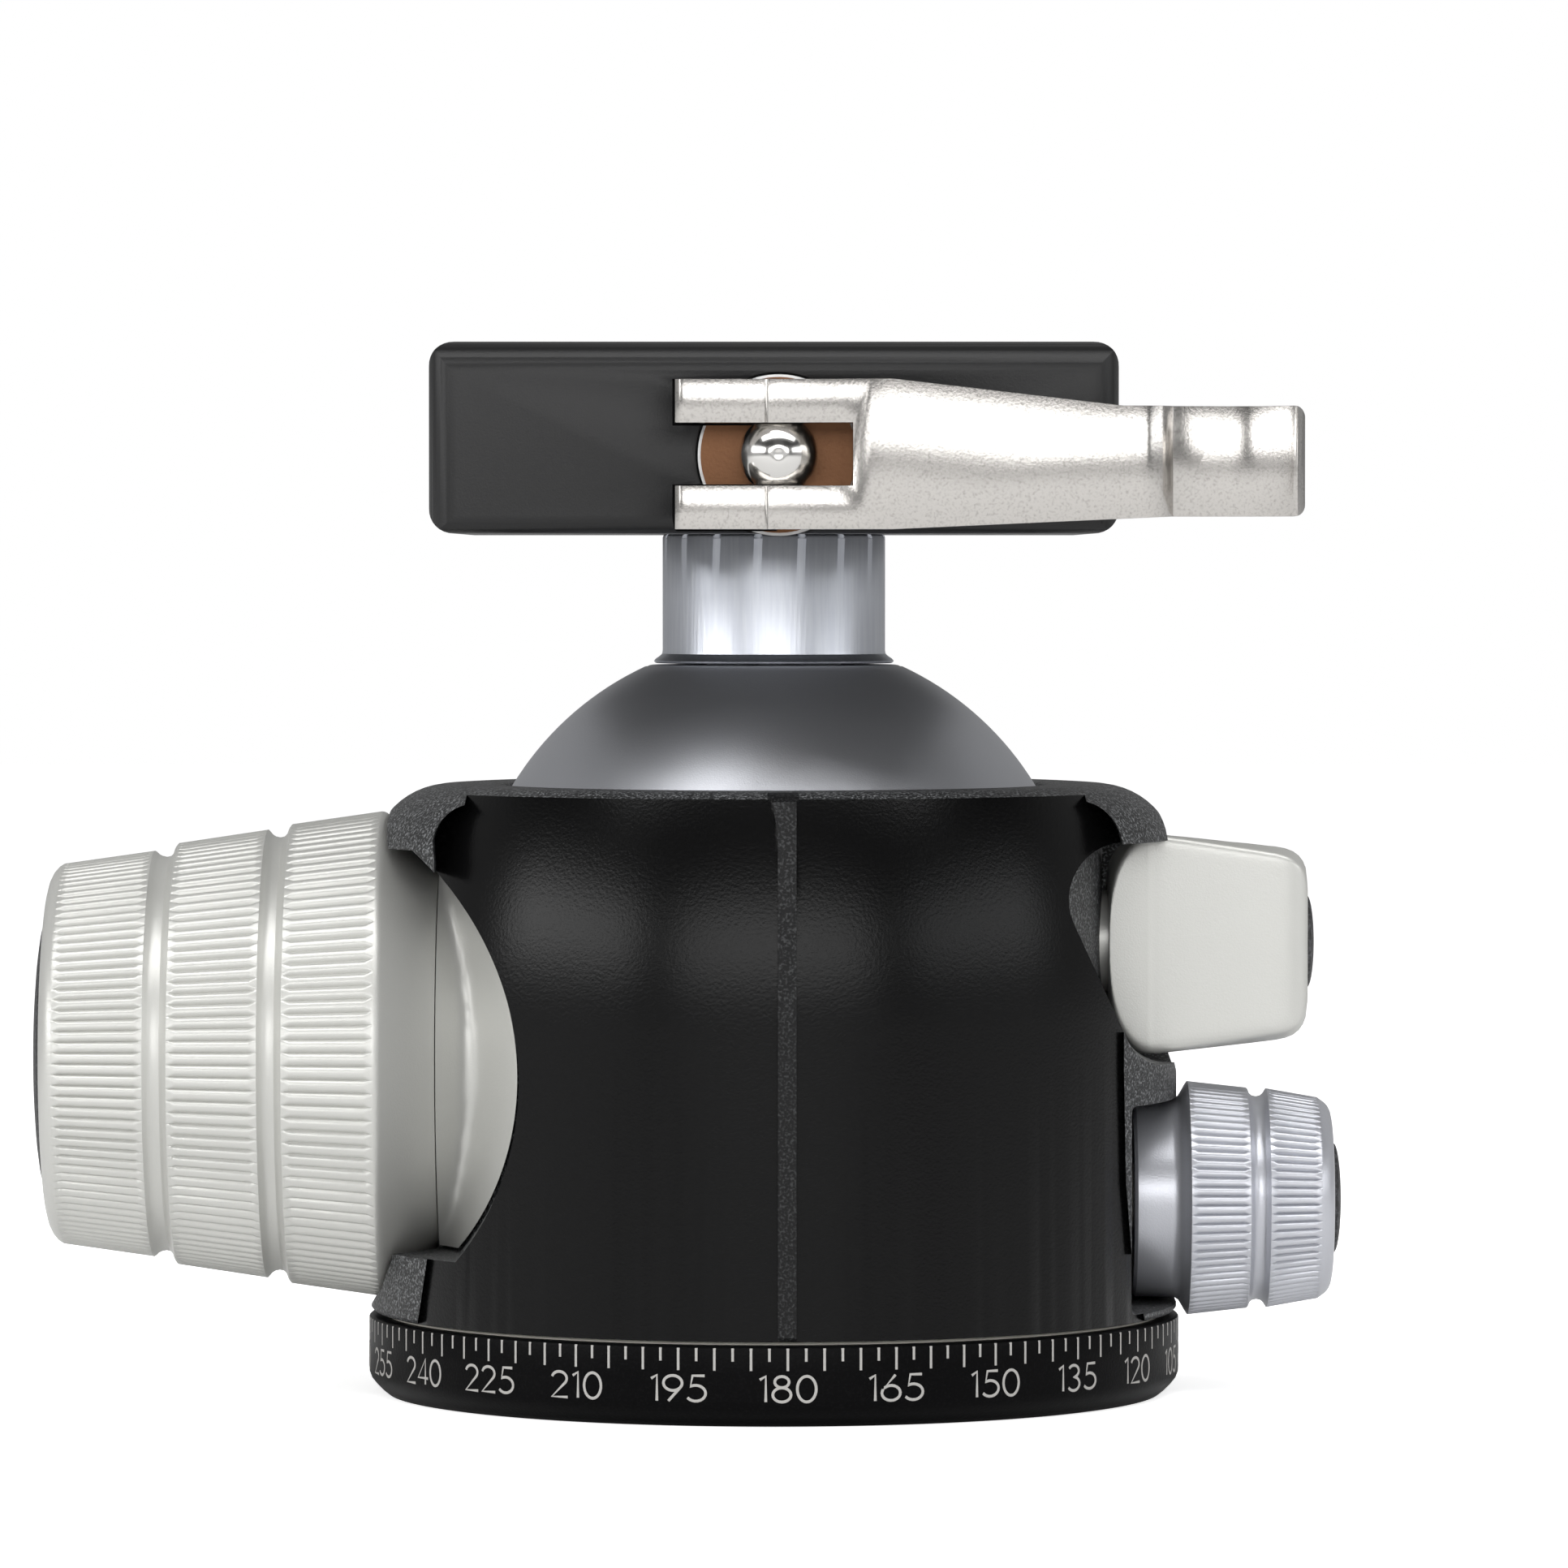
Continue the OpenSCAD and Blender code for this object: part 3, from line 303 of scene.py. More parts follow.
blasted_steel = finish("blasted stainless", (0.53, 0.51, 0.487), 1, 0.20, 4200, 0.006,
                       fleck=(0.38, 0.365, 0.345), threshold=0.5, softness=0.25)
polished_steel = finish("polished steel", (0.66, 0.65, 0.63), 1, 0.16, 5000, 0.0)
plain_steel = finish("plain steel", (0.52, 0.52, 0.52), 1, 0.34, 4000, 0.01)
dark_steel = finish("blackened steel", (0.02, 0.02, 0.022), 0, 0.4, 4000, 0.01)
# Bronze's own brown, painted much darker as painted shade for the washer that sits in shadow in the lever's slot.
bronze = finish("bearing bronze painted shade", (0.13, 0.06, 0.028), 0.8, 0.36, 3500, 0.01,
                fleck=(0.12, 0.055, 0.026), threshold=0.5, softness=0.3)
cap_black = finish("grained cap", (0.012, 0.012, 0.013), 0, 0.55, 2600, 0.10,
                   fleck=(0.06, 0.06, 0.065), threshold=0.5, softness=0.12)
polymer = finish("bearing polymer", (0.70, 0.68, 0.60), 0, 0.5, 2000, 0.01)
scale_grey = finish("scale engraving", (0.34, 0.33, 0.315), 0, 0.6, 5000, 0.01,
                    fleck=(0.38, 0.37, 0.36), threshold=0.5, softness=0.2)
print(len([m for m in bpy.data.materials if m.use_nodes]), "finishes")

# %% [markdown]
# Every solid from the drawing gets a finish too, also those that hide inside,
# because a pose or a cut may show them.

# %% Finishes on the solids
by_slot = {"black_aluminium": clamp_black, "silver_aluminium": silver, "blue_aluminium": ball_grey,
           "stainless_steel": blasted_steel, "steel": plain_steel, "dark_steel": dark_steel,
           "bronze": bronze, "black_plastic": cap_black, "polymer": polymer}
for part in frame["record"]["subparts"]:
    node = frame["nodes"][part["node"]]
    node.data.materials.clear()
    node.data.materials.append(by_slot[part["material_slot"]])
frame["nodes"]["tension_bush"].data.materials[0] = silver

# %% [markdown]
# ## Workshop helpers
# Most of this head comes off a lathe. A turned piece starts as a circle, which
# is drawn out along its axis and scaled at each step, just as the tool moves
# along the work.


# %% Turning
def place_at(along, distance, centre):
    """The point at a distance along an axis through centre, in millimetres."""
    point = Vector(centre)
    point["XYZ".index(along)] += distance
    return point


def select_where(want):
    """In edit mode, selects the points for which want(place in mm) is true."""
    bpy.ops.mesh.select_all(action="DESELECT")
    mesh = bmesh.from_edit_mesh(bpy.context.object.data)
    bpy.context.tool_settings.mesh_select_mode = (True, False, False)
    for vert in mesh.verts:
        vert.select_set(want(vert.co / MM))
    mesh.select_flush(True)
    bmesh.update_edit_mesh(bpy.context.object.data)


def outward():
    """In edit mode, merges doubles and turns every face outwards."""
    bpy.ops.mesh.select_all(action="SELECT")
    bpy.ops.mesh.remove_doubles(threshold=0.000001)
    bpy.ops.mesh.normals_make_consistent(inside=False)
    bpy.ops.object.mode_set(mode="OBJECT")


def turned(name, rings, along="Z", centre=(0, 0, 0), sides=256, closed=False):
    """Turns a piece from rings of (distance, radius). A closed one is a tube in section."""
    bpy.ops.object.select_all(action="DESELECT")
    turn = {"Z": (0, 0, 0), "X": (0, math.pi / 2, 0), "Y": (-math.pi / 2, 0, 0)}[along]
    axis = "XYZ".index(along)
    start, radius = rings[0]
    bpy.ops.mesh.primitive_circle_add(vertices=sides, radius=radius * MM, rotation=turn,
                                      location=place_at(along, start, centre) * MM)
    piece = bpy.context.object
    piece.name = name
    bpy.ops.object.transform_apply(location=True, rotation=True, scale=True)
    bpy.ops.object.mode_set(mode="EDIT")
    if not closed:
        bpy.ops.mesh.edge_face_add()
    path = list(rings[1:]) + ([rings[0]] if closed else [])
    for distance, wide in path:
        step = Vector((0, 0, 0))
        step[axis] = (distance - start) * MM
        bpy.ops.mesh.extrude_edges_move(TRANSFORM_OT_translate={"value": step})
        share = [wide / radius] * 3
        share[axis] = 1
        bpy.ops.transform.resize(value=share,
                                 center_override=place_at(along, distance, centre) * MM)
        start, radius = distance, wide
    if not closed:
        bpy.ops.mesh.edge_face_add()
    outward()
    return piece


# %% [markdown]
# Flat outlines, such as the lever's, are walked point by point and then drawn
# out to their thickness. Holes and pockets are cut with the Boolean modifier,
# and edges are broken with Bevel, because a real machined edge always is.


# %% Outlines, cuts and edges
def arc(cx, cy, r, a0, a1, steps):
    """Points of an arc, angles in degrees."""
    angles = [math.radians(a0 + (a1 - a0) * i / steps) for i in range(steps + 1)]
    return [(cx + r * math.cos(a), cy + r * math.sin(a)) for a in angles]


def rounded(low_x, high_x, low_y, high_y, low_r, high_r, steps=8):
    """A rectangle with round corners, other ones below than above."""
    return (arc(low_x + low_r, low_y + low_r, low_r, 180, 270, steps)
            + arc(high_x - low_r, low_y + low_r, low_r, 270, 360, steps)
            + arc(high_x - high_r, high_y - high_r, high_r, 0, 90, steps)
            + arc(low_x + high_r, high_y - high_r, high_r, 90, 180, steps))


def drawn(name, points, plane, low, high):
    """A prism on an outline. plane names the outline's two axes; low and high lie on the third."""
    bpy.ops.object.select_all(action="DESELECT")
    first, second = ("XYZ".index(letter) for letter in plane)
    third = 3 - first - second

    def spot(p, depth=low):
        place = Vector((0, 0, 0))
        place[first], place[second], place[third] = p[0] * MM, p[1] * MM, depth * MM
        return place

    bpy.ops.mesh.primitive_plane_add(size=0.001, location=spot(points[0]))
    piece = bpy.context.object
    piece.name = name
    bpy.ops.object.transform_apply(location=True)
    bpy.ops.object.mode_set(mode="EDIT")
    bpy.ops.mesh.merge(type="CENTER")
    for a, b in zip(points, points[1:]):
        bpy.ops.mesh.extrude_vertices_move(TRANSFORM_OT_translate={"value": spot(b) - spot(a)})
    bpy.ops.mesh.select_all(action="SELECT")
    bpy.ops.mesh.edge_face_add()
    bpy.ops.mesh.extrude_region_move(
        TRANSFORM_OT_translate={"value": spot((0, 0), high) - spot((0, 0), low)})
    outward()
    return piece


def reach_of(piece):
    """The largest distance of a piece's points from the head's axis, and their number."""
    points = piece.data.vertices
    return max((math.hypot(v.co.x, v.co.y) for v in points), default=0), len(points)


def cut(piece, tool, how="DIFFERENCE"):
    """Cuts a piece with a tool, which is then thrown away. A cut that went wrong is made again, a hair aside."""
    before, reach = piece.data.copy(), reach_of(piece)[0]
    for aside in (0, 0.003, -0.005, 0.008):
        tool.location = (aside * MM, aside * MM, aside * MM)
        change = piece.modifiers.new("cut", "BOOLEAN")
        change.operation, change.solver, change.object = how, "EXACT", tool
        bpy.context.view_layer.objects.active = piece
        bpy.ops.object.modifier_apply(modifier=change.name)
        now, points = reach_of(piece)
        if points and (how == "UNION" or now < reach + 0.01 * MM):
            break
        piece.data = before.copy()
    bpy.data.objects.remove(tool)
    return piece


def broken_edges(piece, width, segments=3, angle=35):
    """Rounds every edge that is sharper than the angle."""
    change = piece.modifiers.new("edges", "BEVEL")
    change.width = width * MM
    change.segments = segments
    change.limit_method = "ANGLE"
    change.angle_limit = math.radians(angle)
    change.use_clamp_overlap = True
    bpy.context.view_layer.objects.active = piece
    bpy.ops.object.modifier_apply(modifier=change.name)
    return piece


def finished(piece, material, body, stands_for=(), angle=32):
    """Smooths a piece, gives it its finish and hangs it on its body."""
    bpy.ops.object.select_all(action="DESELECT")
    piece.select_set(True)
    bpy.context.view_layer.objects.active = piece
    bpy.ops.object.shade_smooth_by_angle(angle=math.radians(angle))
    if material is not None:
        piece.data.materials.clear()
        piece.data.materials.append(material)
    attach(piece, body)
    if stands_for:
        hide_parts(*stands_for)
    size = piece.dimensions / MM
    print(f"{piece.name}: {size.x:.1f} x {size.y:.1f} x {size.z:.1f} mm,",
          sum(len(p.vertices) - 2 for p in piece.data.polygons), "triangles")
    return piece


# %% [markdown]
# ## Turning base and its scale
# The base is a plain turned disc with a broken foot. The head turns on it, and
# the wall carries a scale of degrees, cut through the black skin.

# %% Base
BASE_R, BASE_H = 36.4, 7.1
HUB_R, HUB_TOP, BUSH_R, FLANGE_R, FLANGE_H = 13, 10, 7.2, 10, 2.4
base = turned("base_disc", [
    (0.0, FLANGE_R), (0.0, 34.4), (0.06, 34.75), (0.45, 35.25), (1.0, 35.8), (1.5, 36.2), (2.0, 36.38),
    (2.4, BASE_R), (4.5, BASE_R), (6.75, BASE_R), (6.95, 36.34), (7.05, 36.22), (BASE_H, 36.05),
    (BASE_H, 34.85), (6.5, 34.85), (6.5, 29.55), (BASE_H, 29.55), (BASE_H, HUB_R), (HUB_TOP, HUB_R),
    (HUB_TOP, BUSH_R), (FLANGE_H, BUSH_R), (FLANGE_H, FLANGE_R)], sides=360, closed=True)
SCREW_RING, SCREW_R, HEAD_R = 23.6, 1.55, 2.95
drill = turned("drill", [(-1, HEAD_R), (0.3, HEAD_R), (2.2, SCREW_R), (12, SCREW_R)],
               centre=(SCREW_RING, 0, 0), sides=48)
bpy.ops.object.mode_set(mode="EDIT")
bpy.ops.mesh.select_all(action="SELECT")
bpy.ops.mesh.spin(steps=6, dupli=True, angle=math.tau, center=(0, 0, 0), axis=(0, 0, 1))
bpy.ops.mesh.select_all(action="SELECT")
bpy.ops.transform.rotate(value=-math.radians(30), orient_axis="Z", center_override=(0, 0, 0))
outward()
cut(base, drill)
finished(base, base_black, "base", ["pan_base"])

# %% [markdown]
# The numbers are drawn with one round-nosed stroke each, as an engraving
# machine does it. A digit is a path of points in a box one high, made into a
# thin flattened tube, and each number is then wrapped round the wall.

# %% Digits as paths
DIGITS = {
    "0": [arc(0.29, 0.5, 1, 0, 360, 28)],
    "1": [[(0.03, 0.84), (0.2, 0.97), (0.2, 0.03)]],
    "2": [arc(0.28, 0.71, 0.25, 165, -35, 14) + [(0.03, 0.03), (0.56, 0.03)]],
    "3": [arc(0.26, 0.74, 0.22, 150, -90, 12) + arc(0.26, 0.27, 0.25, 90, -150, 14)],
    "4": [[(0.60, 0.26), (0.03, 0.26), (0.45, 0.97), (0.45, 0.03)]],
    "5": [[(0.52, 0.97), (0.17, 0.97), (0.11, 0.57)] + arc(0.26, 0.33, 0.29, 118, -145, 16)],
    "6": [[(0.42, 0.97)] + arc(0.29, 0.31, 0.275, 150, 510, 22)],
    "7": [[(0.03, 0.97), (0.54, 0.97), (0.18, 0.03)]],
    "8": [arc(0.28, 0.76, 0.205, -90, 270, 18), arc(0.28, 0.29, 0.26, 90, 450, 20)],
    "9": [[(0.16, 0.03)] + arc(0.29, 0.69, 0.275, -30, 330, 22)],
}
DIGITS["0"] = [[(0.29 + (x - 0.29) * 0.27, 0.5 + (y - 0.5) * 0.47) for x, y in DIGITS["0"][0]]]
DIGIT_H, DIGIT_STRETCH, STROKE, SCALE_Z, NEAR_180 = 2.36, 1.28, 0.14, 2.25, 1.9


def stroked(name, paths):
    """A digit as flattened tubes along its paths, upright in the XZ plane."""
    bpy.ops.object.select_all(action="DESELECT")
    bpy.ops.mesh.primitive_plane_add(size=0.001, location=(0, 0, 0))
    piece = bpy.context.object
    piece.name = name
    bpy.ops.object.mode_set(mode="EDIT")
    bpy.ops.mesh.delete(type="VERT")
    for path in paths:
        bpy.ops.mesh.select_all(action="DESELECT")
        bpy.ops.mesh.primitive_plane_add(size=0.001, location=(0, 0, 0))
        bpy.ops.mesh.merge(type="CENTER")
        here = Vector((0, 0, 0))
        first = Vector((path[0][0] * DIGIT_STRETCH, 0, path[0][1])) * DIGIT_H * MM
        bpy.ops.transform.translate(value=first)
        here = first
        for x, z in path[1:]:
            there = Vector((x * DIGIT_STRETCH, 0, z)) * DIGIT_H * MM
            bpy.ops.mesh.extrude_vertices_move(TRANSFORM_OT_translate={"value": there - here})
            here = there
    bpy.ops.mesh.select_all(action="SELECT")
    bpy.ops.mesh.remove_doubles(threshold=0.00001)
    bpy.ops.object.mode_set(mode="OBJECT")
    bpy.ops.object.convert(target="CURVE")
    line = bpy.context.object.data
    line.bevel_depth = STROKE * MM
    line.bevel_resolution = 1
    line.use_fill_caps = True
    bpy.ops.object.convert(target="MESH")
    bpy.ops.object.mode_set(mode="EDIT")
    bpy.ops.mesh.select_all(action="SELECT")
    bpy.ops.transform.resize(value=(1, 0.3, 1), center_override=(0, 0, 0))
    outward()
    return bpy.context.object


digit_shapes = {d: stroked("digit_" + d, paths) for d, paths in DIGITS.items()}
print(len(digit_shapes), "digits")


# %% Numbers round the wall
def copied(piece, name):
    """A copy with its own mesh."""
    twin = piece.copy()
    twin.data = piece.data.copy()
    twin.name = name
    bpy.context.scene.collection.objects.link(twin)
    return twin


def joined(pieces, name):
    """Several objects as one."""
    bpy.ops.object.select_all(action="DESELECT")
    for piece in pieces:
        piece.select_set(True)
    bpy.context.view_layer.objects.active = pieces[0]
    bpy.ops.object.join()
    pieces[0].name = name
    return pieces[0]


def wrapped(piece, angle, radius, height):
    """Wraps a flat piece round a wall, its middle at an angle from the front."""
    for vert in piece.data.vertices:
        x, y, z = vert.co
        turn, reach = angle + x / (radius * MM), radius * MM - y
        vert.co = (reach * math.sin(turn), -reach * math.cos(turn), z + height * MM)


numbers = []
for value in range(0, 360, 15):
    widths = [0.38 if d == "1" else 0.70 for d in str(value)]
    start = -(sum(widths) - 0.12) / 2
    for digit, wide in zip(str(value), widths):
        shape = copied(digit_shapes[digit], "number")
        for vert in shape.data.vertices:
            vert.co.x += start * DIGIT_STRETCH * DIGIT_H * MM
        start += wide
        wrapped(shape, math.radians(NEAR_180 + 180 - value), BASE_R - 0.012, SCALE_Z)
        numbers.append(shape)
for shape in digit_shapes.values():
    bpy.data.objects.remove(shape)
numbers = joined(numbers, "scale_numbers")
finished(numbers, scale_grey, "base", angle=60)

# %% Degree ticks
ticks = []
for name, step, length in (("five", 5, 1.95), ("half", 5, 1.15)):
    bpy.ops.object.select_all(action="DESELECT")
    bpy.ops.mesh.primitive_cube_add(size=1, location=(0, -(BASE_R - 0.045) * MM, (6.93 - length / 2) * MM),
                                    scale=(0.25 * MM, 0.1 * MM, length * MM))
    bpy.ops.object.transform_apply(location=True, rotation=True, scale=True)
    mark = bpy.context.object
    bpy.ops.object.mode_set(mode="EDIT")
    bpy.ops.mesh.select_all(action="SELECT")
    bpy.ops.mesh.bevel(offset=0.02 * MM, segments=1)
    bpy.ops.mesh.select_all(action="SELECT")
    bpy.ops.mesh.spin(steps=360 // step, dupli=True, angle=math.tau, center=(0, 0, 0), axis=(0, 0, 1))
    bpy.ops.mesh.select_all(action="SELECT")
    shift = NEAR_180 + (step / 2 if name == "half" else 0)
    bpy.ops.transform.rotate(value=-math.radians(shift), orient_axis="Z", center_override=(0, 0, 0))
    outward()
    ticks.append(mark)
ticks = joined(ticks, "scale_ticks")
finished(ticks, scale_grey, "base")

# %% [markdown]
# ## Casing
# The casing is a turned shell. Two black faces are milled into its front and
# lean in towards the rim; between them stays a narrow mark for reading the
# scale. Round pockets are milled in from the sides for the knobs, and a notch
# at the back lets the neck drop to the level.

# %% Casing shell
BALL_Z, BALL_R, BORE_R, CORE_R, CASING_R, RIM_Z, FOOT_Z = 40.3, 27.5, 28.6, 29.5, 36.2, 54.7, 7.4
LOCK_Z, TENSION_Z, PAN_Z = 30.4, 40.5, 17.4


def ball_wall(z, r):
    """Radius at a height of a sphere round the ball's centre."""
    return math.sqrt(r * r - (z - BALL_Z) ** 2)


outside = [(FOOT_Z, 35.6), (FOOT_Z + 0.12, 35.95), (FOOT_Z + 0.4, CASING_R)]
outside += [(z, CASING_R) for z in (11, 15, 19, 23, 27, 31, 34, 37, 40, 43, 45.5)]
outside += [(z, r) for r, z in arc(29.2, 47.7, 7, 0, 90, 14)]
inside = [(RIM_Z, 24.9), (RIM_Z - 0.1, 24.5), (RIM_Z - 0.4, 24.25)]
inside += [(z, ball_wall(z, 28.0)) for z in (53.4, 52.4, 51.2, 50.0)]
inside += [(50.0, BORE_R), (40, BORE_R), (30, BORE_R), (20, BORE_R), (FOOT_Z, BORE_R)]
casing = turned("casing_shell", outside + inside, sides=360, closed=True)
print("casing shell:", len(casing.data.polygons), "faces")

# %% Front faces and reading mark
BELLY_R, BELLY_Z, MARK_L, MARK_R = 55, 34.0, 0.35, 1.95


def leaning(radius):
    """A round body whose wall leans in above the belly, in an arc."""
    curve = [(z, r) for r, z in arc(radius - BELLY_R, BELLY_Z, BELLY_R, 0, 24, 16)]
    return turned("leaning_body", [(5, radius)] + curve, sides=360)


right_edge = [(32.9, 6.4), (32.8, 7.6), (31.6, 13), (31.0, 20), (30.8, 30), (30.8, 44), (30.7, 48.5)]
left_edge = [(-31.6, 6.4), (-31.4, 7.6), (-30.4, 14), (-30.0, 22), (-29.9, 36), (-29.8, 48)]
right_face = right_edge + arc(26.4, 49.4, 4.3, 10, 75, 9) + [(26.9, 57), (MARK_R, 57), (MARK_R, 6.4)]
left_face = [(MARK_L, 6.4), (MARK_L, 50.0), (MARK_L - 0.15, 52), (MARK_L - 0.55, 54.2), (MARK_L - 0.8, 57),
             (-26.6, 57)] + arc(-26.2, 49.6, 3.8, 105, 172, 9) + list(reversed(left_edge))
for face in (right_face, left_face):
    cutter = drawn("face_cutter", face, "XZ", -60, -9)
    cut(cutter, leaning(CASING_R - 0.4))
    cut(casing, cutter)
strip = drawn("mark_cutter", [(MARK_L - 0.9, 34.6), (MARK_R + 0.1, 34.6), (MARK_R + 0.1, 57),
                              (MARK_L - 0.9, 57)], "XZ", -60, -9)
cut(strip, leaning(CASING_R - 0.01))
cut(casing, strip)
print("front faces:", len(casing.data.polygons), "faces")

# %% Pocket for the locking knob
POCKET_X, POCKET_Z, POCKET_R = -47.5, 29.3, 25.3
LOCK_CONE = 0.93


def lock_cone(x):
    """Radius of the locking knob's cone at a distance from the casing's axis."""
    return 21.8 - LOCK_CONE * (34.9 - x)


def pocket_outline(inset):
    """Front view of the pocket, drawn in by a clearance."""
    r, low, high = POCKET_R - inset, 13.3 + inset, 49.2 - inset
    a0 = math.degrees(math.asin((low - POCKET_Z) / r))
    a1 = math.degrees(math.asin((high - POCKET_Z) / r))
    return arc(POCKET_X, POCKET_Z, r, a0, a1, 72) + [(-80, high), (-80, low)]


def core(radius):
    """The thin-walled core that no pocket cuts into."""
    return turned("core", [(4, radius), (60, radius)], sides=256)


milled = drawn("pocket_cutter", pocket_outline(0), "XZ", -60, 60)
swept = turned("knob_clearance", [(-70, 22.5), (-34.9, 22.5), (-29.5, lock_cone(29.5) + 0.7), (-20, 9)],
               "X", (0, 0, LOCK_Z), 192)
cut(milled, swept, "UNION")
cut(milled, core(CORE_R))
cut(casing, milled)
print("locking pocket:", len(casing.data.polygons), "faces")

# %% Pocket for the tension knob, seat of the panning knob, and the notch
UP, LOW = (30.6, 45.0, 4.8), (35.3, 34.5, 4.6)
across = (LOW[0] - UP[0], LOW[1] - UP[1])
lean = 360 + math.degrees(math.atan2(across[1], across[0]) - math.acos((UP[2] - LOW[2]) / math.hypot(*across)))
side_pocket = (arc(*UP, 90, lean, 24) + arc(*LOW, lean, 270, 20)
               + [(80, LOW[1] - LOW[2]), (80, UP[1] + UP[2])])
milled = drawn("pocket_cutter", side_pocket, "XZ", -60, 1)
cut(milled, turned("knob_clearance", [(24, 11.8), (70, 11.8)], "X", (0, 0, TENSION_Z), 144), "UNION")
cut(milled, core(CORE_R))
cut(casing, milled)
cut(casing, turned("pan_bore", [(31.6, 9.3), (60, 9.3)], "X", (0, 0, PAN_Z), 128))
opening = rounded(31.55, 60, PAN_Z - 9.25, PAN_Z + 9.25, 0.5, 0.5)
cut(casing, drawn("pan_opening", opening, "XZ", -60, 0.1))
cut(casing, turned("shoe_bore", [(20, 3.1), (40, 3.1)], "X", (0, 0, PAN_Z), 48))
cut(casing, turned("pad_bore", [(20, 3.4), (40, 3.4)], "X", (0, 0, TENSION_Z), 48))
cut(casing, turned("shoe_bore", [(-40, 4.1), (-20, 4.1)], "X", (0, 0, LOCK_Z), 48))
NOTCH = 10.35
notch = [(NOTCH, 70)] + arc(0, BALL_Z, NOTCH, 0, -180, 40) + [(-NOTCH, 70)]
cut(casing, drawn("notch_cutter", notch, "XZ", 5, 60))
relief = [(z, r) for r, z in arc(0, BALL_Z, 36.45, 0, 89, 30)]
room = drawn("relief_block", [(-50, 14), (50, 14), (50, 60), (-50, 60)], "XY", BALL_Z, 90)
cut(room, turned("relief_ball", [(20, 36.45)] + relief, sides=256))
cut(casing, room)
print("pockets and notch:", len(casing.data.polygons), "faces")

# %% [markdown]
# The front faces are smooth black; the shoulders, the sides and the mark were
# masked and blasted, so they are grey and speckled. The mark wears a darker
# copy of the blasted finish, which is painted shade. The finishes are told
# apart by where a face lies: on the leaning front, on the mark, or anywhere else.

# %% Finishes on the casing, with painted shade on the mark
broken_edges(casing, 0.12, 2, 40)
finished(casing, peel_black, "housing", ["casing"], angle=28)
casing.data.materials.append(blasted_grey)
casing.data.materials.append(mark_grey_painted_shade)


def face_depth(spot):
    """How deep a point lies below the mark's level, on the leaning front."""
    rise = max(0.0, spot.z - BELLY_Z)
    level = CASING_R - BELLY_R + math.sqrt(BELLY_R ** 2 - rise ** 2)
    return level - math.hypot(spot.x, spot.y)


smooth_black = 0
for face in casing.data.polygons:
    spot = face.center / MM
    front = spot.y < -9 and abs(face_depth(spot) - 0.4) < 0.06 and spot.z < RIM_Z - 0.02
    bore = math.hypot(spot.x, spot.y) < BORE_R + 0.3 and spot.z < 50
    # Faces of the reading mark take the darker copy of the blasted finish, which is painted shade.
    mark = spot.y < -30 and MARK_L - 1 < spot.x < MARK_R + 0.2
    face.material_index = 0 if front or bore else 2 if mark else 1
    smooth_black += front
print("smooth black faces:", smooth_black)

# %% [markdown]
# ## Locking knob
# The big knob is one turned piece: a smooth cone that dives into the casing,
# then three bands of fine flutes with smooth grooves between them. A flute is
# a narrow V, and it runs out in a point at both ends of its band.


# %% Fluting
def band(start, stop, wide, narrow, run=0.75):
    """Rings of a fluted band: close together at its ends, where the flutes run out."""
    way = 1 if stop > start else -1
    marks = [start + way * run * i / 4 for i in range(5)] + [stop - way * run * i / 4 for i in range(4, -1, -1)]
    return [(m, wide + (narrow - wide) * (m - start) / (stop - start)) for m in marks]


def fluted(piece, axis_z, bands, count, depth, run=0.75):
    """Presses count flutes into each band of a piece turned along X, eight points to a flute."""
    groove = (1, 0.52, 0.16, 0.04, 0, 0.04, 0.16, 0.52)
    pressed = piece.vertex_groups.new(name="flutes")
    for vert in piece.data.vertices:
        x, y, z = vert.co / MM
        for start, stop in bands:
            inside = min(abs(x - start), abs(x - stop)) if min(start, stop) < x < max(start, stop) else 0
            if inside and math.hypot(y, z - axis_z) > 6:
                turn = round(math.atan2(y, z - axis_z) / math.tau * count * 8) % 8
                pressed.add([vert.index], max(0.0, groove[turn] - 1 + min(1.0, inside / run)), "REPLACE")
    change = piece.modifiers.new("flutes", "DISPLACE")
    change.vertex_group = "flutes"
    change.strength, change.mid_level = -depth * MM, 0
    bpy.context.view_layer.objects.active = piece
    bpy.ops.object.modifier_apply(modifier=change.name)
    piece.vertex_groups.clear()
    return piece


# %% Knob
LOCK_FLUTES, PAN_FLUTES, FLUTE_DEPTH = 112, 76, 0.34
lock_bands = [(-35.25, -43.3), (-45.5, -53.5), (-55.7, -63.8)]
lock_knob = turned("locking_knob", [
    (-29.95, 10.85), (-29.95, 17.2), (-32, 19.1), (-34.2, 21.15), (-34.55, 21.46), (-34.8, 21.66), (-35.05, 21.77)]
    + band(-35.25, -43.3, 21.8, 20.65) + [(-43.5, 20.4), (-43.7, 19.85), (-44.0, 19.55), (-44.4, 19.45),
                                          (-44.85, 19.55), (-45.15, 19.75), (-45.35, 20.0)]
    + band(-45.5, -53.5, 20.15, 18.95) + [(-53.7, 18.7), (-53.9, 18.1), (-54.2, 17.8), (-54.6, 17.7),
                                          (-55.05, 17.8), (-55.35, 17.95), (-55.55, 18.15)]
    + band(-55.7, -63.8, 18.25, 17.1) + [(-64.2, 16.85), (-64.6, 16.4), (-64.9, 15.8), (-65.05, 15.2),
                                         (-65.1, 14.7), (-65.1, 13.15), (-64.95, 13.0), (-63.9, 13.0),
                                         (-63.9, 3.05), (-34, 3.05), (-33.8, 4.3), (-30.85, 4.3),
                                         (-30.85, 10.85)],
    "X", (0, 0, LOCK_Z), LOCK_FLUTES * 8, closed=True)
fluted(lock_knob, LOCK_Z, lock_bands, LOCK_FLUTES, FLUTE_DEPTH)
finished(lock_knob, silver, "lock_grip", ["lock_knob"], angle=30)


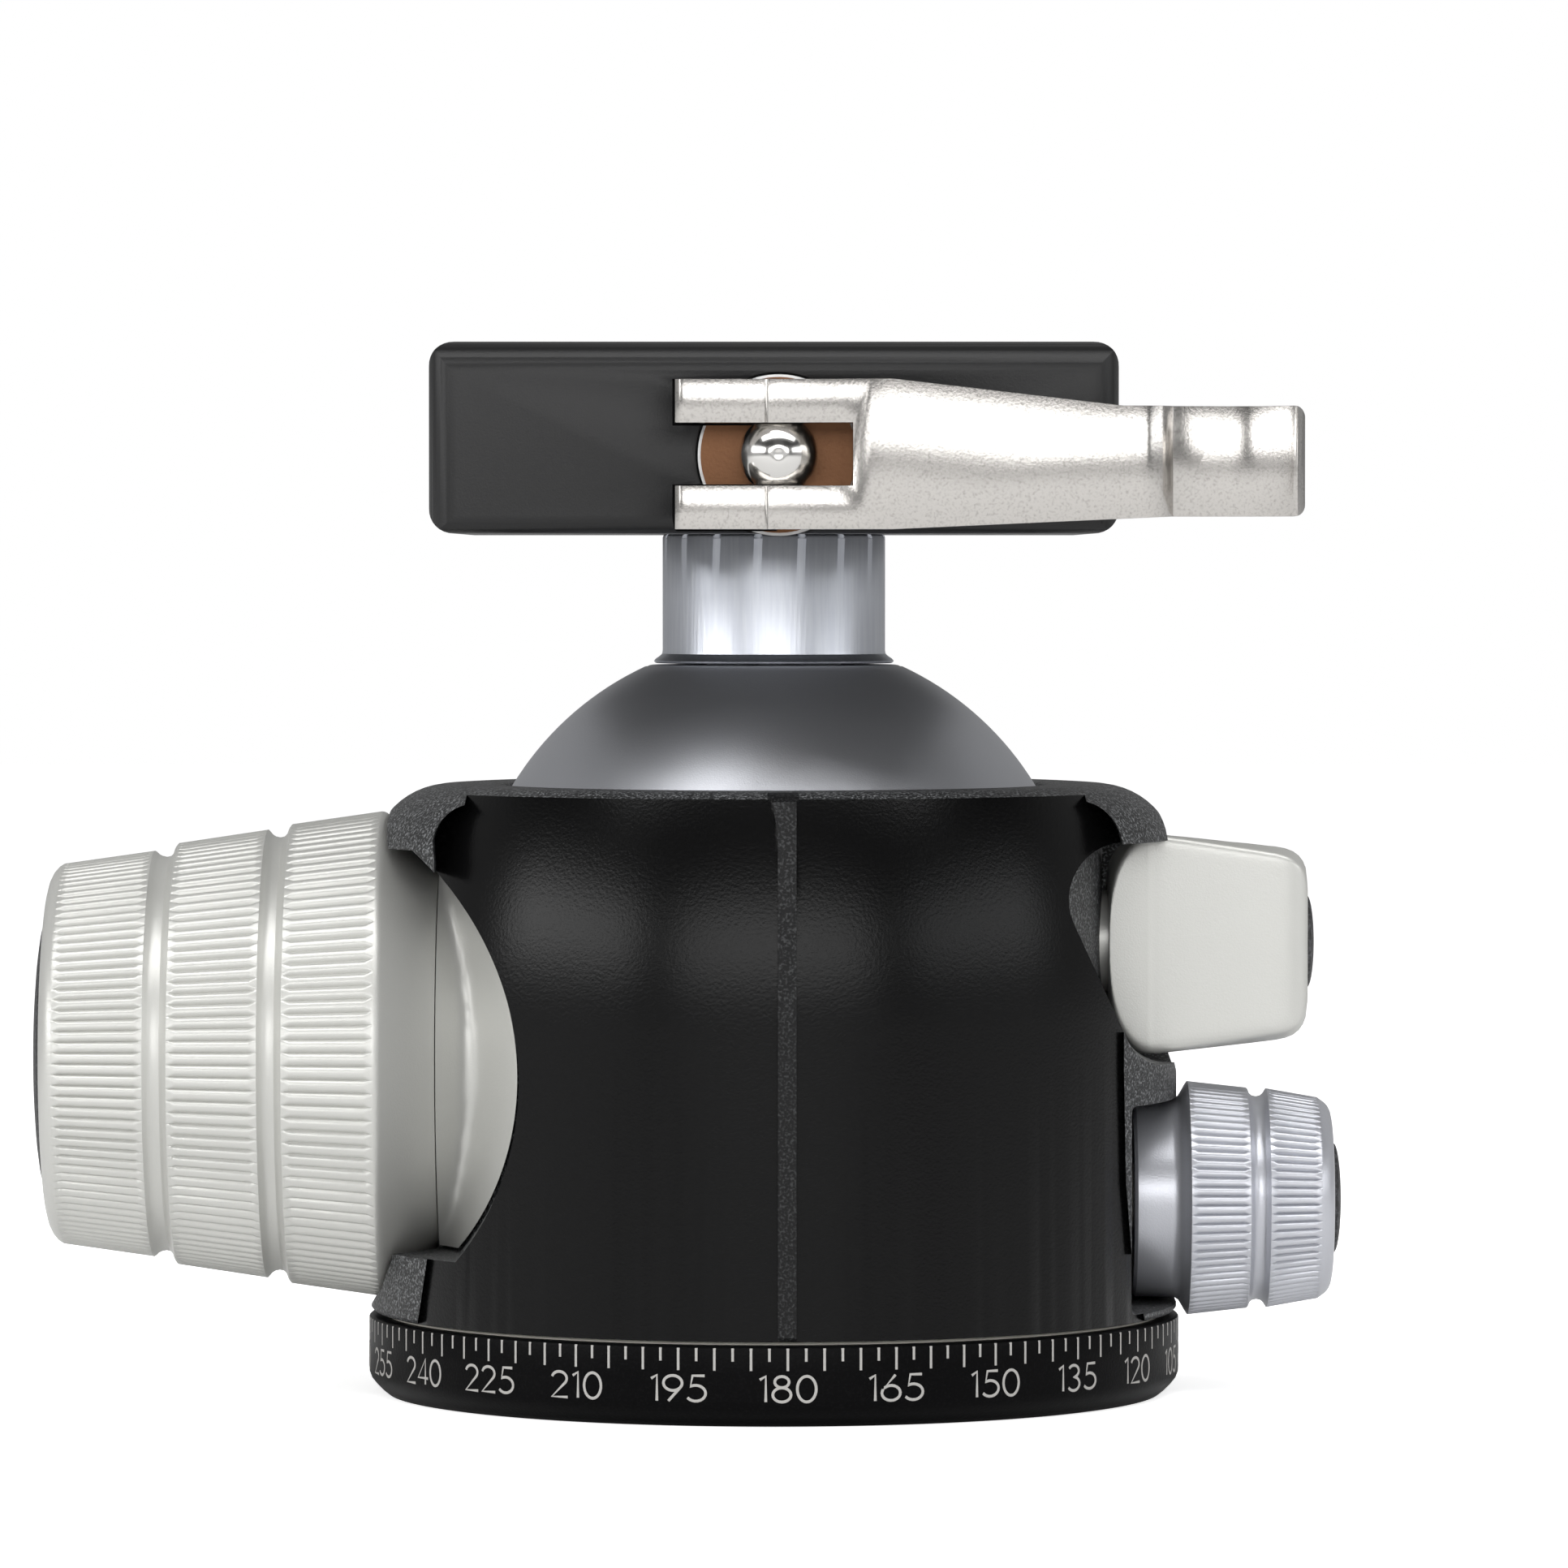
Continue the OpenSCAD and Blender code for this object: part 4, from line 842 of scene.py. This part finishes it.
# %% Caps
def cap(node, start, rim, top, radius, axis_z, body):
    """A button cap with a domed top, along X, in the place of a solid."""
    way = 1 if rim > start else -1
    rings = [(start, radius - 0.15), (start + way * 0.15, radius), (rim, radius)]
    rings += [(rim + (top - rim) * math.sin(math.radians(a)), radius * math.cos(math.radians(a)))
              for a in (8, 16, 26, 36, 48, 60, 72, 82, 88)]
    return finished(turned("domed_" + node, rings, "X", (0, 0, axis_z), 96), cap_black, body, [node],
                    40)


cap("lock_cap", -63.95, -65.1, -66.3, 12.95, LOCK_Z, "lock_grip")
cap("tension_cap", 47.62, 47.95, 48.55, 4.15, TENSION_Z, "tension_grip")
cap("pan_cap", 50.1, 50.4, 51.0, 4.9, PAN_Z, "pan_grip")

# %% [markdown]
# Behind the knob sits a fixed silver collar. It carries the cone on, and
# flows over into a skin round the core, so it is joined from both, melted
# together and trimmed to the pocket.

# %% Collar behind the locking knob
collar = turned("locking_collar", [(-40, lock_cone(40) + 0.1), (-29.9, lock_cone(29.9) + 0.1), (-13, lock_cone(13) + 0.1)],
                "X", (0, 0, LOCK_Z), 160)
cut(collar, core(30.0), "UNION")
trim = drawn("trim", [(-45, -40), (-12, -40), (-12, 40), (-45, 40)], "XY", 8, 56)
cut(collar, trim, "INTERSECT")
melt = collar.modifiers.new("melt", "REMESH")
melt.mode, melt.voxel_size = "VOXEL", 0.55 * MM
soft = collar.modifiers.new("soft", "SMOOTH")
soft.factor, soft.iterations = 0.5, 90
for change in (melt.name, soft.name):
    bpy.ops.object.modifier_apply(modifier=change)
trim = drawn("trim", pocket_outline(0.35), "XZ", -40, 40)
cut(trim, drawn("face", [(-29.86, -40), (-10, -40), (-10, 40), (-29.86, 40)], "XY", 5, 60), "INTERSECT")
cut(trim, core(29.6))
cut(collar, trim, "INTERSECT")
finished(collar, silver, "housing", ["lock_bezel"], angle=40)

# %% [markdown]
# ## Panning knob
# The smaller knob sits in a bore of the casing with a plain collar, and has
# two fluted bands.

# %% Panning knob
pan_knob = turned("panning_knob", [
    (32.2, 3.3), (32.2, 8.6), (32.5, 8.88), (34.0, 8.9), (35.6, 8.9), (36.1, 8.98), (36.4, 9.2), (36.7, 9.7),
    (36.95, 10.15), (37.1, 10.38)] + band(37.2, 42.5, 10.5, 9.92, 0.6)
    + [(42.62, 9.8), (42.75, 9.45), (43.0, 9.22), (43.4, 9.12), (43.8, 9.22), (44.05, 9.45), (44.2, 9.7)]
    + band(44.3, 48.9, 9.85, 9.05, 0.6)
    + [(49.1, 8.9), (49.5, 8.62), (49.8, 8.3), (50.0, 7.9), (50.1, 7.4), (50.1, 2.55), (33.95, 2.55),
       (33.95, 3.3)], "X", (0, 0, PAN_Z), PAN_FLUTES * 8, closed=True)
fluted(pan_knob, PAN_Z, [(37.2, 42.5), (44.3, 48.9)], PAN_FLUTES, FLUTE_DEPTH, 0.6)
finished(pan_knob, blue_silver, "pan_grip", ["pan_knob"], angle=30)

# %% [markdown]
# ## Tension knob
# This one is turned to a round, domed blank, and three flats then leave it
# nearly triangular, with soft corners. Each ring is drawn in to where the
# flats cut it, and the meeting of round and flat is blended.

# %% Tension knob
dome = [(29.95 + 3.75 * (1 - math.cos(math.radians(a))), 5.3 + 5.95 * math.sin(math.radians(a)), 6.02)
        for a in range(0, 90, 3)]
tension_rings = dome + [(33.75, 11.26, 5.98), (34.2, 11.28, 5.95), (36.5, 10.95, 5.87), (39.5, 10.5, 5.75),
                        (42.5, 10.05, 5.65), (44.9, 9.68, 5.56), (45.8, 9.45, 5.48), (46.5, 9.12, 5.35),
                        (47.05, 8.65, 5.12), (47.45, 8.0, 4.85), (47.7, 7.3, 4.6), (47.8, 6.5, 4.4)]
blank = [(x, radius) for x, radius, flat in tension_rings]
tension_knob = turned("three_flat_knob", blank + [(47.8, 4.25), (47.6, 4.2), (47.6, 2.5), (32.95, 2.5),
                                               (32.95, 4.9), (29.95, 4.9)], "X", (0, 0, TENSION_Z), 288, True)
flat_at = {round(x, 3): flat for x, radius, flat in tension_rings}
for vert in tension_knob.data.vertices:
    x, y, z = vert.co / MM
    across, up = -y, z - TENSION_Z
    reach = math.hypot(across, up)
    if reach > 5.2 and (flat := flat_at.get(round(x, 3))):
        for a in (0, 120, 240):
            lean = math.cos(math.atan2(up, across) - math.radians(a))
            if lean > 0.2:
                reach = (reach ** -60 + (flat / lean) ** -60) ** (-1 / 60)
        share = reach / math.hypot(across, up)
        vert.co.y, vert.co.z = vert.co.y * share, (TENSION_Z + up * share) * MM
finished(tension_knob, silver, "tension_grip", ["tension_knob"], angle=34)

# %% [markdown]
# ## Ball and neck
# The ball is ground, the neck is a separate turned stem that plugs into it.
# A row of small notches runs round the stem's upper edge.

# %% Ball
SHOULDER_Z, TAIL_R, NECK_R, CLAMP_Z = 65.4, 6.0, 10.0, 77.1
sphere = [(z, r) for r, z in arc(0, BALL_Z, BALL_R, 65.1, -30, 48)]
sphere += [(z, r) for r, z in arc(0, BALL_Z, BALL_R, -35, -88, 12)]
ball = turned("ground_ball", [(50.2, TAIL_R + 0.05), (SHOULDER_Z - 0.25, TAIL_R + 0.05), (SHOULDER_Z, TAIL_R + 0.3),
                       (SHOULDER_Z, 10.95), (SHOULDER_Z - 0.05, 11.2), (SHOULDER_Z - 0.16, 11.4)] + sphere,
              sides=320)
finished(ball, ball_grey, "ball_body", ["ball"], angle=40)

# %% Stem
stem = turned("notched_stem", [
    (50.4, 5.6), (50.75, TAIL_R), (65.0, TAIL_R), (65.55, TAIL_R), (65.55, 10.55), (65.62, 10.72), (65.75, 10.78),
    (65.95, 10.62), (66.2, 10.25), (66.4, 10.05), (66.7, NECK_R), (71.5, NECK_R), (76.8, NECK_R), (77.0, 9.93),
    (CLAMP_Z, 9.8), (CLAMP_Z, 3.05), (59.7, 3.05)], sides=256)
notch = turned("notch", [(76.72, 0.4), (78, 0.4)], centre=(10.1, 0, 0), sides=16)
bpy.ops.object.mode_set(mode="EDIT")
bpy.ops.mesh.select_all(action="SELECT")
bpy.ops.mesh.spin(steps=16, dupli=True, angle=math.tau, center=(0, 0, 0), axis=(0, 0, 1))
bpy.ops.mesh.select_all(action="SELECT")
bpy.ops.transform.rotate(value=math.radians(8), orient_axis="Z", center_override=(0, 0, 0))
outward()
cut(stem, notch)
finished(stem, neck_grey, "neck", ["stem"], angle=30)

# %% [markdown]
# ## Clamp
# The clamp is one block, rounded on all sides, then split along its groove
# into a body on the neck and a jaw that slides on two pins. Three outlines,
# one for each view, meet in the block.

# %% Block, body and jaw
CLAMP_TOP, GROOVE_Z, HALF_L, HALF_W, PLATE, LIP = 93.8, 88.3, 30, 29, 19.1, 0.25
block = drawn("clamp_block", rounded(-HALF_W, HALF_W, CLAMP_Z, CLAMP_TOP, 1.6, 3.0), "YZ", -HALF_L, HALF_L)
cut(block, drawn("ends", rounded(-HALF_L, HALF_L, CLAMP_Z, CLAMP_TOP, 2.2, 2.2), "XZ", -40, 40), "INTERSECT")
cut(block, drawn("plan", rounded(-HALF_L, HALF_L, -HALF_W, HALF_W, 2.5, 2.5), "XY", 70, 100), "INTERSECT")
jaw = copied(block, "clamp_jaw")
RISE = CLAMP_TOP - GROOVE_Z - 3 * LIP
seat = PLATE + 0.3
cut(jaw, drawn("jaw_side", [(-50, 60), (-seat, 60), (-seat, GROOVE_Z + 2 * LIP), (RISE - seat, CLAMP_TOP - LIP),
                            (RISE - seat, 100), (-50, 100)], "YZ", -40, 40), "INTERSECT")
cut(block, drawn("body_side", [(-PLATE, 60), (50, 60), (50, 100), (PLATE - RISE, 100),
                               (PLATE - RISE, CLAMP_TOP - LIP), (PLATE, GROOVE_Z + 2 * LIP), (PLATE, GROOVE_Z),
                               (-PLATE, GROOVE_Z)], "YZ", -40, 40), "INTERSECT")
PIVOT = Vector((0.4, -33.4, 83.9))
cut(block, turned("head_recess", [(84.4, 5.05), (95, 5.05)], sides=96))
cut(block, turned("screw_hole", [(70, 3), (95, 3)], sides=64))
cut(block, turned("rod_hole", [(-40, 1.75), (-5.5, 1.75)], "Y", (PIVOT.x, 0, PIVOT.z), 48))
cut(jaw, turned("rod_hole", [(-40, 1.95), (0, 1.95)], "Y", (PIVOT.x, 0, PIVOT.z), 48))
cut(jaw, turned("counterbore", [(-40, 7.2), (-27.5, 7.2)], "Y", (PIVOT.x, 0, PIVOT.z), 128))
for x in (-22, 22):
    cut(block, turned("pin_hole", [(-40, 2), (-5, 2)], "Y", (x, 0, 82.5), 48))
    cut(jaw, turned("pin_hole", [(-26.6, 2.05), (0, 2.05)], "Y", (x, 0, 82.5), 48))
EAR, SLOT = 6.45, 2.7
for low, high in ((SLOT - 0.15, EAR + 0.15), (-EAR - 0.15, 0.15 - SLOT)):
    for open_by in (0, 1.5):
        room = turned("heel_room", [(PIVOT.z + low, 9.65), (PIVOT.z + high, 9.65)],
                      centre=(PIVOT.x, PIVOT.y + open_by, 0), sides=128)
        cut(room, drawn("half", [(-40, -60), (0.27, -60), (0.27, 0), (-40, 0)], "XY", 60, 100), "INTERSECT")
        cut(jaw, room)
for piece, body, node in ((block, "neck", "clamp_body"), (jaw, "moving_jaw", "jaw")):
    broken_edges(piece, 0.22, 2, 40)
    finished(piece, clamp_black, body, [node], angle=30)

# %% [markdown]
# ## Clamp lever
# The lever is a forked cam. Its plan gives the cam and the long arm, its
# front view gives the fork, the taper and the tab, and the two meet in the
# solid. It turns on a ball at the end of the pull rod.

# %% Lever
CAM_H, CAM_RATE, OPEN = 3.2, 1.5 / math.radians(88), 88
HEEL, REACH = 8.9, 45.3
BEND = REACH - 11.3


def cam_point(a):
    """A point of the cam, whose support falls evenly as the lever opens."""
    h, t = CAM_H - CAM_RATE * math.radians(a), math.radians(a)
    return (-h * math.sin(t) + CAM_RATE * math.cos(t), h * math.cos(t) + CAM_RATE * math.sin(t))


plan = [(6, 3.15), (CAM_RATE, CAM_H)] + [cam_point(8 * i) for i in range(1, 12)]
plan += [(cam_point(88)[0], -0.4), (0.3 - HEEL, -0.4), (-HEEL, -0.7), (-HEEL, -2.6), (0.4 - HEEL, -3.05),
         (0.9 - HEEL, -3.2), (-1.2, -3.2), (-0.9, -2.9), (-0.3, -2.9)]
plan += [(4, -3.6), (8, -4.7), (9.6, -5.0), (BEND - 3, -3.8)]
plan += arc(BEND - 3, -0.8, 3, -90, -10, 8) + arc(BEND + 3, -10.2, 10, 80, 41, 10)
plan += [(REACH, -1.8), (REACH - 1.2, -0.6)] + arc(BEND + 2.4, -9.87, 12.6, 55, 86, 10)
plan += [(BEND - 2, 2.4), (BEND - 4, 0.2), (10, -0.6), (8, 2)]
lever = drawn("fork_lever", [(PIVOT.x + x, PIVOT.y + y) for x, y in plan], "XY", PIVOT.z - 12, PIVOT.z + 12)
front = [(-HEEL, EAR), (9.8, EAR), (29.6, EAR - 2.3)] + arc(REACH - 1, EAR - 3.3, 1, 90, 0, 6)
front += arc(REACH - 1, 2.1 - EAR, 1, 0, -90, 6) + [(BEND, 1.1 - EAR), (9.8, -EAR), (-HEEL, -EAR)]
front += [(-HEEL, -SLOT), (6.4, -SLOT), (6.4, SLOT), (-HEEL, SLOT)]
cut(lever, drawn("lever_front", [(PIVOT.x + x, PIVOT.z + z) for x, z in front], "XZ", -60, 0), "INTERSECT")
seat = turned("ball_seat", [(PIVOT.y + y, r) for r, y in arc(0, 0, 3.45, -88, 88, 20)], "Y",
              (PIVOT.x, 0, PIVOT.z), 64)
cut(lever, seat)
broken_edges(lever, 0.2, 2, 24)
finished(lever, blasted_steel, "lever_arm", ["lever"], angle=24)

# %% Pull rod
rod = [(PIVOT.y + y, r) for r, y in arc(0, 0, 3.4, -80, 28.5, 20)]
rod = turned("ball_rod", [(PIVOT.y - 3.3, 0.3)] + rod + [(PIVOT.y + 1.63, 1.7), (-5.7, 1.7)], "Y",
             (PIVOT.x, 0, PIVOT.z), 96)
finished(rod, polished_steel, "neck", ["pull_rod"], angle=30)

# %% [markdown]
# ## Size of the head
# The box that the finished head fills is printed, in millimetres.

# %% Boxes
low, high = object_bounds()
print("head ", [round(v / MM, 2) for v in (*low, *high)])
